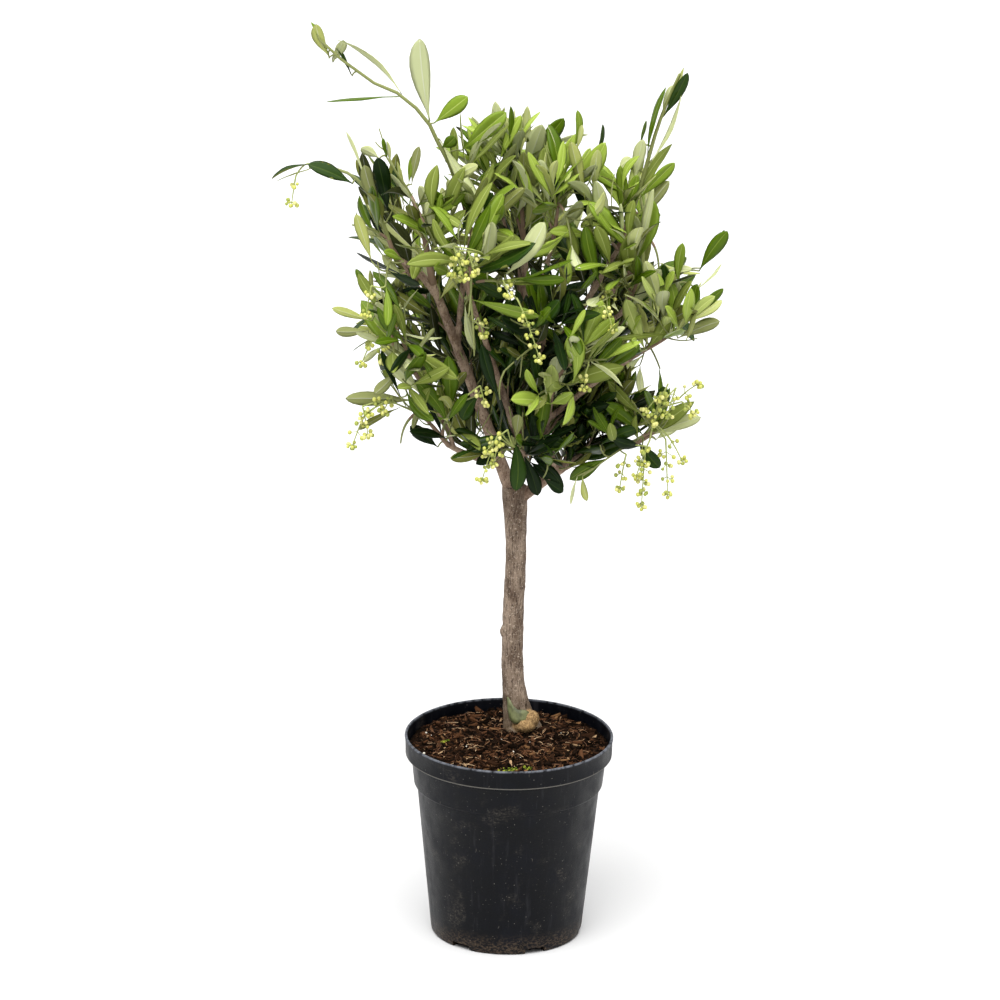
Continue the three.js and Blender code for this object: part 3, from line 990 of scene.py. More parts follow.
LIMBS: tuple[Limb, ...] = (
    Limb("limb_left", "trunk", 0.955, (-38, 19, 562), (-82, -12, 689), 7.4, 4.2),
    Limb("limb_centre", "trunk", 0.955, (13, 58, 560), (8, 48, 700), 6.6, 3.4),
    Limb("limb_right", "trunk", 0.955, (62, 19, 496), (118, 8, 518), 6.6, 3.6),
    Limb("bough_low_left", "limb_left", 0.17, (-44, 0, 506), (-64, -18, 522), 4, 2.8),
    Limb("bough_left", "bough_low_left", 0.86, (-72, -28, 556), (-98, -38, 604), 2.6, 2.2),
    Limb("bough_spray_left", "limb_left", 0.93, (-98, -20, 704), (-120, -30, 724), 3.1, 2.4),
    Limb("bough_top_left", "limb_left", 0.72, (-52, 0, 690), (-44, 4, 735), 3.4, 2.5),
    Limb("bough_left_back", "limb_left", 0.55, (-76, 42, 632), (-104, 60, 672), 3.4, 2.3),
    Limb("bough_back_left", "limb_left", 0.3, (-52, 82, 575), (-74, 118, 625), 3.8, 2.4),
    Limb("bough_front", "limb_centre", 0.22, (-15, -12, 588), (-48, -52, 698), 4, 2.6),
    Limb("bough_front_low", "limb_right", 0.22, (16, 2, 488), (12, -20, 512), 2.8, 2.2),
    Limb("bough_right_mid", "limb_right", 0.34, (33, -2, 528), (36, -32, 578), 3.8, 2.8),
    Limb("bough_right", "bough_right_mid", 0.72, (80, -16, 590), (124, -16, 622), 3.2, 2.4),
    Limb("bough_centre", "limb_centre", 0.42, (22, 2, 600), (28, -28, 634), 3, 2.2),
    Limb("bough_top_right", "limb_centre", 0.5, (62, 44, 640), (100, 22, 716), 3.8, 2.6),
    Limb("bough_right_upper", "bough_top_right", 0.42, (98, 12, 648), (112, -12, 676), 2.8, 2.2),
    Limb("bough_right_back", "bough_top_right", 0.3, (92, 78, 648), (118, 86, 682), 2.9, 2.2),
    Limb("bough_top_front", "limb_centre", 0.72, (28, 18, 690), (36, -2, 734), 3, 2.3),
    Limb("bough_back_right", "limb_right", 0.4, (76, 74, 545), (94, 114, 590), 3.6, 2.4),
    Limb("bough_back_low", "limb_centre", 0.12, (16, 82, 492), (14, 112, 512), 2.9, 2.2),
    Limb("bough_back", "limb_centre", 0.36, (10, 106, 588), (4, 140, 640), 3.6, 2.4),
    Limb("bough_back_top", "limb_centre", 0.74, (-6, 88, 700), (-20, 108, 742), 3, 2.3),
)
MASSES: tuple[Mass, ...] = (
    Mass(
        "spray_top_left", "bough_top_left", 11, 62, 0, 45, Mood.PALE,
        shoots=(
            Shoot(
                (-201, 0, 946),
                (
                    (-60, -5, 795), (-79, -8, 835), (-90, -9, 857),
                    (-114, -9, 882), (-146, -8, 897), (-190, -3, 930),
                ),
                leafy=0.25,
            ),
            Shoot((-47, 2, 800), fork=0.06),
            Shoot((-24, -40, 756), fork=0.0),
        ),
        blades=(
            Blade((-87, -10, 857), (-98, -18, 944), 21, Tone.TIP, 180, 0.1),
            Blade((-83, -10, 855), (-50, -14, 884), 17, Tone.FRESH, 10, 0.2),
            Blade((-115, -9, 884), (-180, -13, 940), 15, Tone.SAGE, 125, 0.9),
            Blade((-115, -10, 882), (-189, -16, 877), 13, Tone.GREEN, 75, 0.1),
            Blade((-187, 0, 917), (-205, 0, 954), 8, Tone.FRESH, 40, 0.3),
            Blade((-187, 0, 919), (-200, -4, 953), 13, Tone.GREEN, 165, 0.2),
            Blade((-183, 0, 913), (-173, -4, 937), 11, Tone.SAGE, 180, 0.9),
            Blade((-164, -3, 900), (-180, 1, 928), 9, Tone.DARK, 60, 0.1),
            Blade((-77, -9, 838), (-33, -19, 765), 15, Tone.SAGE, 160, 0.1),
            Blade((-75, -9, 830), (-62, -15, 843), 13, Tone.GREEN, 20, 0.8),
            Blade((-56, 4, 738), (-24, -10, 784), 19, Tone.DARK, 0, 0.2),
            Blade((-55, -8, 827), (-12, -12, 868), 19, Tone.FRESH, 10, 0.5),
        ),
    ),
    Mass(
        "spray_left", "bough_spray_left", 23, 54, 0, 10, Mood.GREEN,
        shoots=(
            Shoot((-204, -22, 815), ((-140, -28, 776), (-164, -27, 806)), leafy=0.3),
            Shoot((-162, -45, 760), fork=0.1),
            Shoot((-128, -66, 704), fork=0.0),
        ),
        blades=(
            Blade((-204, -22, 815), (-242, -24, 799), 11, Tone.DARK, 70, 0.7),
            Blade((-204, -22, 810), (-237, -20, 796), 8, Tone.GREEN, 110, 0.2),
            Blade((-162, -31, 798), (-206, -37, 819), 18, Tone.DARK, 15, 0.3),
            Blade((-149, -28, 801), (-169, -24, 849), 7, Tone.SAGE, 110, 0.2),
            Blade((-127, -29, 769), (-138, -39, 828), 18, Tone.DEEP, 5, 0.2),
            Blade((-136, -28, 768), (-151, -36, 819), 14, Tone.OLIVE, 170, 0.1),
            Blade((-142, -59, 727), (-158, -63, 777), 12, Tone.GREEN, 165, 0.1),
        ),
    ),
    Mass(
        "upper_left", "limb_left", 31, 58, 40, 60, Mood.UPPER,
        shoots=(Shoot((-130, -20, 824), ((-98, -16, 766),)), Shoot((-66, -24, 775)), Shoot((-52, -58, 690))),
        blades=(
            Blade((-136, -20, 821), (-154, -24, 833), 11, Tone.SAGE, 170, 0.4),
            Blade((-128, -20, 819), (-133, -20, 842), 7, Tone.GREEN, 60, 0.1),
            Blade((-126, -19, 815), (-129, -23, 840), 6, Tone.FRESH, 140, 0.1),
            Blade((-104, -18, 794), (-97, -20, 834), 10, Tone.OLIVE, 170, 0.1),
            Blade((-107, -18, 794), (-104, -16, 823), 7, Tone.FRESH, 20, 0.1),
            Blade((-85, -16, 730), (-96, -24, 795), 14, Tone.SAGE, 175, 0.15),
            Blade((-72, -21, 757), (-84, -31, 793), 12, Tone.GREEN, 20, 0.2),
            Blade((-66, -19, 756), (-68, -31, 804), 13, Tone.FRESH, 150, 0.2),
            Blade((-75, -12, 673), (-46, -20, 715), 14, Tone.GREEN, 165, 0.2),
        ),
    ),
    Mass(
        "left", "bough_left", 47, 56, 40, 30, Mood.SAGE,
        shoots=(
            Shoot((-140, -40, 686), ((-116, -44, 650),)),
            Shoot((-142, -46, 644)),
            Shoot((-92, -78, 636)),
            Shoot((-100, -62, 580)),
        ),
        panicles=(Hanging(1, 0.95, (-12, -4, -26)),),
        blades=(
            Blade((-93, -61, 591), (-122, -69, 628), 16, Tone.SAGE, 172, 0.2),
            Blade((-92, -38, 607), (-131, -44, 641), 17, Tone.SAGE, 175, 0.1),
            Blade((-117, -57, 612), (-138, -61, 590), 12, Tone.OLIVE, 170, 0.3),
            Blade((-112, -61, 587), (-132, -59, 635), 9, Tone.DEEP, 50, 0.1),
            Blade((-142, -46, 661), (-181, -50, 675), 9, Tone.GREEN, 165, 0.1),
            Blade((-145, -46, 651), (-177, -50, 651), 11, Tone.OLIVE, 170, 0.1),
            Blade((-135, -45, 645), (-160, -45, 629), 6, Tone.DARK, 100, 0.3),
            Blade((-129, -44, 635), (-149, -46, 618), 7, Tone.SAGE, 150, 0.5),
            Blade((-114, -44, 646), (-138, -50, 682), 15, Tone.SAGE, 172, 0.1),
        ),
    ),
    Mass(
        "low_left", "bough_low_left", 59, 60, 36, 0, Mood.SAGE,
        shoots=(
            Shoot((-116, -35, 571), ((-90, -30, 556),)),
            Shoot((-57, -56, 578)),
            Shoot((-112, -24, 526)),
        ),
        blades=(
            Blade((-99, -33, 574), (-167, -41, 578), 15, Tone.OLIVE, 178, 0.1),
            Blade((-89, -32, 574), (-100, -38, 546), 8, Tone.OLIVE, 150, 0.2),
            Blade((-75, -20, 521), (-103, -24, 544), 14, Tone.DEEP, 10, 0.3),
            Blade((-113, -34, 567), (-154, -32, 542), 9, Tone.DARK, 130, 0.3),
            Blade((-34, -54, 588), (-51, -58, 563), 15, Tone.DARK, 10, 0.2),
        ),
    ),
    Mass(
        "front_upper", "bough_front", 61, 64, 40, 20, Mood.UPPER,
        shoots=(
            Shoot((-34, -88, 744)),
            Shoot((4, -92, 698), ((-18, -82, 716),)),
            Shoot((-40, -86, 640)),
            Shoot((-46, -104, 686)),
        ),
        blades=(
            Blade((-28, -75, 715), (-24, -87, 779), 14, Tone.SAGE, 180, 0.4),
            Blade((-11, -84, 723), (27, -94, 782), 19, Tone.SAGE, 175, 0.15),
            Blade((-1, -87, 720), (48, -97, 724), 12, Tone.GREEN, 20, 0.2),
            Blade((-50, -61, 715), (-6, -73, 697), 13, Tone.DARK, 10, 0.2),
        ),
    ),
    Mass(
        "top", "limb_centre", 73, 56, 44, 45, Mood.FRESH,
        shoots=(Shoot((-3, 35, 818)), Shoot((-26, 56, 806)), Shoot((24, 62, 812))),
        blades=(
            Blade((-23, 54, 792), (-23, 52, 859), 13, Tone.SAGE, 180, 0.1),
            Blade((-6, 37, 803), (-8, 31, 861), 9, Tone.GREEN, 60, 0.1),
            Blade((12, 54, 803), (9, 54, 854), 10, Tone.FRESH, 150, 0.1),
            Blade((16, 53, 798), (45, 51, 843), 16, Tone.GREEN, 15, 0.2),
        ),
    ),
    Mass(
        "top_front", "bough_top_front", 83, 58, 40, 15, Mood.FRESH,
        shoots=(Shoot((42, 8, 800)), Shoot((10, -12, 782)), Shoot((54, -44, 742))),
        blades=(
            Blade((55, 8, 824), (58, 8, 865), 8, Tone.FRESH, 40, 0.1),
            Blade((57, 8, 822), (63, 4, 851), 8, Tone.BRIGHT, 140, 0.1),
            Blade((75, 8, 811), (83, 8, 851), 8, Tone.DARK, 60, 0.3),
            Blade((35, -5, 766), (22, -13, 820), 14, Tone.SAGE, 175, 0.1),
            Blade((67, -16, 780), (52, -22, 842), 13, Tone.GREEN, 165, 0.1),
        ),
    ),
    Mass(
        "spray_top_right", "bough_top_right", 97, 58, 0, 45, Mood.FRESH,
        shoots=(
            Shoot((158, 20, 900), ((118, 20, 769), (135, 18, 837), (147, 19, 873)), leafy=0.25),
            Shoot((84, -6, 772), fork=0.1),
            Shoot((66, -24, 744), fork=0.0),
            Shoot((138, 30, 750), fork=0.18),
        ),
        blades=(
            Blade((82, -16, 739), (77, -24, 803), 17, Tone.SAGE, 175, 0.2),
            Blade((142, 19, 855), (162, 19, 907), 8, Tone.GREEN, 120, 0.2),
            Blade((143, 19, 856), (166, 15, 903), 12, Tone.DARK, 20, 0.2),
            Blade((142, 19, 856), (151, 21, 888), 9, Tone.SAGE, 150, 0.2),
            Blade((128, 17, 816), (145, 21, 886), 12, Tone.GREEN, -50, 0.6),
            Blade((131, 17, 809), (160, 13, 881), 13, Tone.SAGE, 130, 0.4),
            Blade((121, 16, 772), (155, 12, 811), 13, Tone.FRESH, 30, 0.1),
            Blade((123, 17, 749), (150, 11, 792), 14, Tone.OLIVE, 165, 0.1),
            Blade((115, 16, 789), (123, 10, 835), 13, Tone.SAGE, 180, 0.1),
            Blade((120, 17, 826), (126, 19, 852), 8, Tone.GREEN, 60, 0.1),
            Blade((113, 16, 772), (59, 6, 814), 15, Tone.FRESH, 10, 0.2),
            Blade((102, 10, 754), (118, 2, 801), 12, Tone.FRESH, 30, 0.2),
            Blade((99, 16, 801), (112, 12, 815), 10, Tone.SAGE, 170, 0.1),
        ),
    ),
    Mass(
        "right_upper", "bough_right_upper", 101, 58, 40, 35, Mood.UPPER,
        shoots=(Shoot((124, -24, 738)), Shoot((92, -56, 726)), Shoot((72, -62, 684))),
        panicles=(Hanging(2, 0.7, (4, -16, -26)),),
        blades=(
            Blade((83, -52, 705), (67, -62, 768), 15, Tone.GREEN, 5, 0.2),
            Blade((108, -12, 675), (131, -18, 751), 14, Tone.GREEN, 160, 0.1),
            Blade((115, -19, 688), (122, -27, 738), 12, Tone.BRIGHT, 150, 0.2),
            Blade((111, -12, 665), (143, -22, 711), 16, Tone.SAGE, 175, 0.2),
        ),
    ),
    Mass(
        "right", "bough_right", 113, 56, 40, 80, Mood.FRESH,
        shoots=(
            Shoot((164, -20, 652), ((148, -20, 638),)),
            Shoot((162, -4, 700)),
            Shoot((144, -48, 682)),
            Shoot((124, -54, 636), fork=0.08),
        ),
        blades=(
            Blade((181, -4, 704), (208, -10, 748), 15, Tone.GREEN, 15, 0.2),
            Blade((182, -4, 707), (205, 0, 746), 10, Tone.DARK, 60, 0.2),
            Blade((160, -6, 691), (164, -10, 735), 11, Tone.FRESH, 10, 0.1),
            Blade((179, -6, 685), (203, -4, 712), 7, Tone.SAGE, 110, 0.1),
            Blade((171, -20, 660), (205, -24, 693), 10, Tone.GREEN, 30, 0.2),
            Blade((169, -20, 656), (204, -26, 681), 10, Tone.BRIGHT, 150, 0.2),
            Blade((161, -20, 639), (202, -28, 660), 14, Tone.OLIVE, 170, 0.2),
            Blade((140, -16, 640), (160, -26, 700), 20, Tone.SAGE, 170, 0.1),
            Blade((160, -20, 646), (179, -26, 698), 15, Tone.GREEN, 5, 0.1),
            Blade((139, -15, 650), (146, -19, 716), 14, Tone.DARK, 10, 0.2),
            Blade((146, -5, 703), (174, -9, 708), 8, Tone.SAGE, 160, 0.3),
        ),
    ),
    Mass(
        "right_mid", "bough_right_mid", 127, 58, 40, 50, Mood.FRESH,
        shoots=(Shoot((78, -86, 652)), Shoot((24, -84, 600)), Shoot((90, -80, 636))),
        blades=(
            Blade((64, -76, 642), (85, -84, 699), 15, Tone.BRIGHT, 10, 0.3),
            Blade((68, -80, 650), (97, -92, 683), 14, Tone.BRIGHT, 20, 0.3),
            Blade((74, -68, 619), (105, -78, 658), 13, Tone.GREEN, 0, 0.2),
            Blade((57, -66, 618), (62, -76, 665), 12, Tone.GREEN, 15, 0.2),
            Blade((41, -35, 582), (42, -45, 627), 18, Tone.TIP, 180, 0.1),
            Blade((84, -69, 619), (123, -77, 651), 12, Tone.GREEN, 20, 0.2),
            Blade((31, -32, 576), (21, -38, 652), 13, Tone.DARK, 15, 0.2),
        ),
    ),
    Mass(
        "right_low", "limb_right", 131, 56, 38, 25, Mood.SAGE,
        shoots=(Shoot((156, 5, 550)), Shoot((140, -36, 566)), Shoot((142, 20, 518)), Shoot((80, -34, 506))),
        blades=(
            Blade((136, 9, 526), (186, 1, 549), 14, Tone.SAGE, 172, 0.1),
            Blade((124, 6, 521), (146, 2, 495), 15, Tone.DARK, 10, 0.3),
            Blade((64, -34, 498), (58, -38, 469), 7, Tone.SAGE, 120, 0.2),
            Blade((69, -34, 498), (74, -38, 473), 8, Tone.GREEN, 150, 0.2),
            Blade((86, -29, 529), (125, -37, 550), 13, Tone.DARK, 10, 0.2),
            Blade((140, -24, 554), (148, -30, 592), 14, Tone.DARK, 15, 0.2),
        ),
    ),
    Mass(
        "front_low", "bough_front_low", 149, 56, 36, 70, Mood.DARK,
        shoots=(Shoot((2, -54, 534)), Shoot((36, -46, 520)), Shoot((-26, -46, 526))),
        blades=(
            Blade((0, -54, 544), (3, -62, 491), 17, Tone.DARK, 5, 0.2),
            Blade((10, -24, 516), (25, -30, 475), 15, Tone.DEEP, 10, 0.2),
            Blade((17, -20, 507), (40, -24, 493), 13, Tone.DEEP, 15, 0.2),
            Blade((30, -45, 499), (50, -47, 485), 11, Tone.DEEP, 20, 0.2),
            Blade((-2, -54, 546), (-45, -60, 534), 16, Tone.DARK, 5, 0.2),
            Blade((-6, -54, 550), (-37, -58, 517), 14, Tone.DEEP, 10, 0.2),
            Blade((14, -39, 540), (52, -45, 535), 14, Tone.DARK, 10, 0.2),
            Blade((3, -54, 544), (5, -62, 571), 12, Tone.OLIVE, 170, 0.2),
        ),
    ),
    Mass(
        "centre", "bough_centre", 151, 58, 44, 5, Mood.DARK,
        shoots=(Shoot((20, -84, 668)), Shoot((-10, -78, 622)), Shoot((50, -70, 692))),
        blades=(
            Blade((-14, -78, 592), (-33, -84, 651), 13, Tone.DEEP, 10, 0.2),
            Blade((14, -84, 667), (43, -92, 701), 15, Tone.DARK, 5, 0.2),
        ),
    ),
    Mass(
        "left_back", "bough_left_back", 163, 56, 44, 40, Mood.DARK,
        shoots=(Shoot((-134, 72, 718)), Shoot((-134, 42, 642)), Shoot((-118, 104, 736))),
        panicles=(Hanging(1, 0.9, (-14, 6, -40)),),
    ),
    Mass(
        "back_left", "bough_back_left", 173, 60, 44, 20, Mood.GREEN,
        shoots=(
            Shoot((-118, 140, 672)),
            Shoot((-92, 172, 636)),
            Shoot((-124, 112, 588)),
            Shoot((-82, 148, 560)),
        ),
    ),
    Mass(
        "right_back", "bough_right_back", 179, 56, 42, 65, Mood.GREEN,
        shoots=(Shoot((138, 92, 726)), Shoot((128, 134, 718)), Shoot((142, 74, 668))),
    ),
    Mass(
        "back_right", "bough_back_right", 191, 60, 42, 10, Mood.SAGE,
        shoots=(
            Shoot((140, 132, 640)),
            Shoot((106, 168, 602)),
            Shoot((146, 100, 566)),
            Shoot((92, 148, 538)),
        ),
        panicles=(Hanging(3, 0.8, (4, 10, -46)),),
    ),
    Mass(
        "back", "bough_back", 193, 60, 44, 35, Mood.GREEN,
        shoots=(Shoot((8, 192, 690)), Shoot((-38, 184, 642)), Shoot((46, 188, 636)), Shoot((4, 182, 586))),
    ),
    Mass(
        "back_top", "bough_back_top", 211, 58, 44, 55, Mood.GREEN,
        shoots=(Shoot((-42, 136, 798)), Shoot((4, 148, 790)), Shoot((-80, 124, 770))),
    ),
    Mass(
        "back_low", "bough_back_low", 223, 56, 38, 0, Mood.DARK,
        shoots=(Shoot((-24, 150, 530)), Shoot((42, 156, 530)), Shoot((-54, 112, 512))),
        panicles=(Hanging(0, 0.9, (-4, 10, -40)),),
    ),
)
SPRIGS: tuple[Sprig, ...] = (
    Sprig("limb_right", 0.4, (46, 35, 541)),
    Sprig("limb_right", 0.55, (72, 28, 554)),
    Sprig("limb_right", 0.7, (91, 20, 568)),
    Sprig("limb_right", 0.85, (112, 34, 551)),
    Sprig("limb_right", 0.5, (82, -6, 543)),
    Sprig("limb_right", 0.3, (52, 6, 521)),
    Sprig("bough_right_mid", 0.5, (85, 30, 573)),
    Sprig("bough_right_mid", 0.25, (51, 6, 572)),
    Sprig("bough_right_mid", 0.75, (45, -6, 597)),
    Sprig("limb_centre", 0.08, (26, 26, 554)),
    Sprig("limb_centre", 0.15, (8, 84, 553)),
    Sprig("limb_centre", 0.3, (-15, 56, 603)),
    Sprig("limb_centre", 0.2, (31, 70, 581)),
    Sprig("limb_left", 0.12, (-14, 50, 545)),
    Sprig("limb_left", 0.25, (-28, 64, 572)),
    Sprig("limb_left", 0.4, (-53, 54, 602)),
    Sprig("limb_left", 0.55, (-75, 40, 619)),
    Sprig("limb_left", 0.5, (-45, 20, 646)),
    Sprig("limb_left", 0.75, (-91, 24, 648)),
    Sprig("bough_low_left", 0.5, (-40, 24, 531)),
    Sprig("bough_low_left", 0.3, (-51, 34, 514)),
    Sprig("bough_left", 0.5, (-78, -20, 573)),
    Sprig("bough_back_low", 0.6, (39, 100, 501)),
    Sprig("bough_back_low", 0.8, (61, 96, 507)),
    Sprig("bough_back_right", 0.4, (77, 60, 507)),
    Sprig("bough_back", 0.4, (-5, 120, 598)),
    Sprig("bough_front_low", 0.5, (22, -20, 536)),
    Sprig("bough_front_low", 0.7, (-14, -24, 541)),
    Sprig("bough_front", 0.3, (-5, -20, 601)),
    Sprig("bough_centre", 0.5, (13, -34, 619)),
    Sprig("bough_right", 0.4, (75, 8, 610)),
    Sprig("bough_top_right", 0.3, (54, 30, 640)),
    Sprig("bough_top_right", 0.6, (80, 90, 680)),
    Sprig("bough_back_right", 0.8, (120, 90, 640)),
    Sprig("bough_right_back", 0.4, (110, 126, 640)),
    Sprig("bough_back", 0.7, (40, 150, 600)),
    Sprig("bough_back_left", 0.7, (-60, 150, 590)),
    Sprig("bough_back_top", 0.3, (0, 130, 690)),
    Sprig("limb_centre", 0.8, (-20, 60, 720)),
)
CLUSTERS: tuple[Cluster, ...] = (
    Cluster((-62, -104, 759), (-51, -108, 725), 1.6),
    Cluster((-55, -102, 754), (-63, -106, 729), 1.5),
    Cluster((-47, -100, 752), (-41, -104, 731), 1.4),
    Cluster((1, -100, 705), (25, -104, 641), 1),
    Cluster((-13, -98, 723), (-7, -102, 708), 1.2),
    Cluster((-147, -40, 562), (-160, -44, 528), 1),
    Cluster((-150, -44, 571), (-144, -48, 541), 1.2),
    Cluster((-127, -44, 576), (-144, -48, 565), 1.2),
    Cluster((-121, -46, 583), (-129, -50, 568), 1),
    Cluster((-16, -72, 552), (-31, -76, 505), 1.3),
    Cluster((-12, -74, 555), (-20, -78, 523), 1.3),
    Cluster((-6, -76, 560), (-27, -80, 538), 1.2),
    Cluster((112, -30, 520), (106, -34, 484), 1),
    Cluster((131, -36, 531), (128, -40, 467), 1.2),
    Cluster((135, -36, 537), (122, -40, 499), 1),
    Cluster((151, -24, 534), (154, -28, 476), 1.1),
    Cluster((153, -24, 538), (168, -28, 512), 1),
    Cluster((152, -40, 598), (139, -44, 557), 1.5),
    Cluster((160, -40, 594), (152, -44, 566), 1.4),
    Cluster((148, -36, 588), (130, -40, 568), 1.2),
    Cluster((164, -30, 580), (182, -34, 596), 1),
    Cluster((166, -30, 576), (178, -34, 565), 1),
    Cluster((87, -92, 696), (96, -96, 672), 1.1),
    Cluster((-142, -62, 703), (-147, -66, 673), 1),
    Cluster((-34, -60, 600), (-29, -64, 582), 1),
    Cluster((-218, -24, 803), (-222, -28, 775), 1),
    Cluster((-37, -70, 674), (-31, -74, 657), 1),
    Cluster((70, -80, 623), (69, -84, 607), 0.9),
)
OUTLINE = Outline(
    0.357,
    (
        (-165, 828), (-150, 827), (-138, 836), (-120, 834), (-115, 791), (-100, 774), (-82, 779),
        (-77, 822), (-85, 850), (-69, 860), (-50, 864), (-36, 872), (-18, 877), (9, 873),
        (26, 861), (43, 855), (57, 868), (71, 851), (84, 854), (95, 827), (110, 827),
        (125, 854), (139, 850), (138, 817), (156, 814), (149, 786), (133, 771), (132, 743),
        (134, 716), (158, 712), (163, 735), (172, 712), (188, 706), (186, 683), (204, 683),
        (199, 641), (174, 627), (134, 617), (126, 607), (123, 588), (145, 584), (174, 584),
        (187, 564), (179, 538), (154, 529), (136, 502), (103, 480), (71, 477), (53, 469),
        (27, 475), (7, 459), (-19, 478), (-43, 490), (-65, 505), (-77, 522), (-89, 536),
        (-108, 542), (-128, 544), (-151, 529), (-163, 533), (-163, 552), (-161, 567), (-137, 575),
        (-136, 598), (-152, 615), (-168, 630), (-162, 648), (-154, 667), (-156, 688), (-162, 707),
        (-161, 730), (-167, 748), (-165, 771), (-163, 792), (-175, 807),
    ),
)


# ------------------------------------------------------------------ trunk and limbs


@dataclass(frozen=True)
class Knot:
    """A bump on the trunk: its height above the soil, its side and its half sizes."""

    height: float
    angle: float
    size: Point


@dataclass
class Skeleton:
    """The middle lines and radii of the trunk and the limbs, which the rest grows from."""

    foot: Point = (12, 40, 204.3)
    line: tuple[Point, ...] = ((5.5, 39.5, 236), (2.5, 39, 270), (2.5, 37.5, 330), (4.3, 36, 388))
    top: Point = (1.9, 35, 462)
    radius: float = 10.2
    flare: float = 8.8
    flare_height: float = 33
    lobes: int = 3
    lobe_share: float = 0.11
    lobe_turn: float = 0.6
    fork_swell: float = 2.2
    fork_from: float = 0.84
    fork_to: float = 0.97
    taper: float = 0.8
    lines: dict[str, Curve] = field(default_factory=dict)

    def __post_init__(self) -> None:
        """Runs every line, parents first."""
        self.lines["trunk"] = Spline((self.foot, *self.line, self.top))
        for limb in LIMBS:
            start = tuple(self.lines[limb.parent].point(limb.at))
            self.lines[limb.name] = Spline((start, limb.through, limb.tip))

    def trunk_radius(self, t: float, angles: Array) -> Array:
        """The trunk's radius at a height and round it.

        Args:
            t: the share of the way up.
            angles: angles round it in radians.

        Returns:
            One radius an angle.
        """
        flare = math.exp(-t * (self.top[2] - self.foot[2]) / self.flare_height)
        lobes = 1 + self.lobe_share * flare**3 * np.cos(self.lobes * angles + self.lobe_turn)
        rise = min(max((t - self.fork_from) / (self.fork_to - self.fork_from), 0.0), 1.0)
        fork = self.fork_swell * rise * rise * (3 - 2 * rise)
        return (self.radius + self.flare * flare + fork) * lobes

    def limb_radius(self, limb: Limb, t: float) -> float:
        """A limb's radius at a share of its length."""
        return mix(limb.foot_radius, limb.tip_radius, t**self.taper)


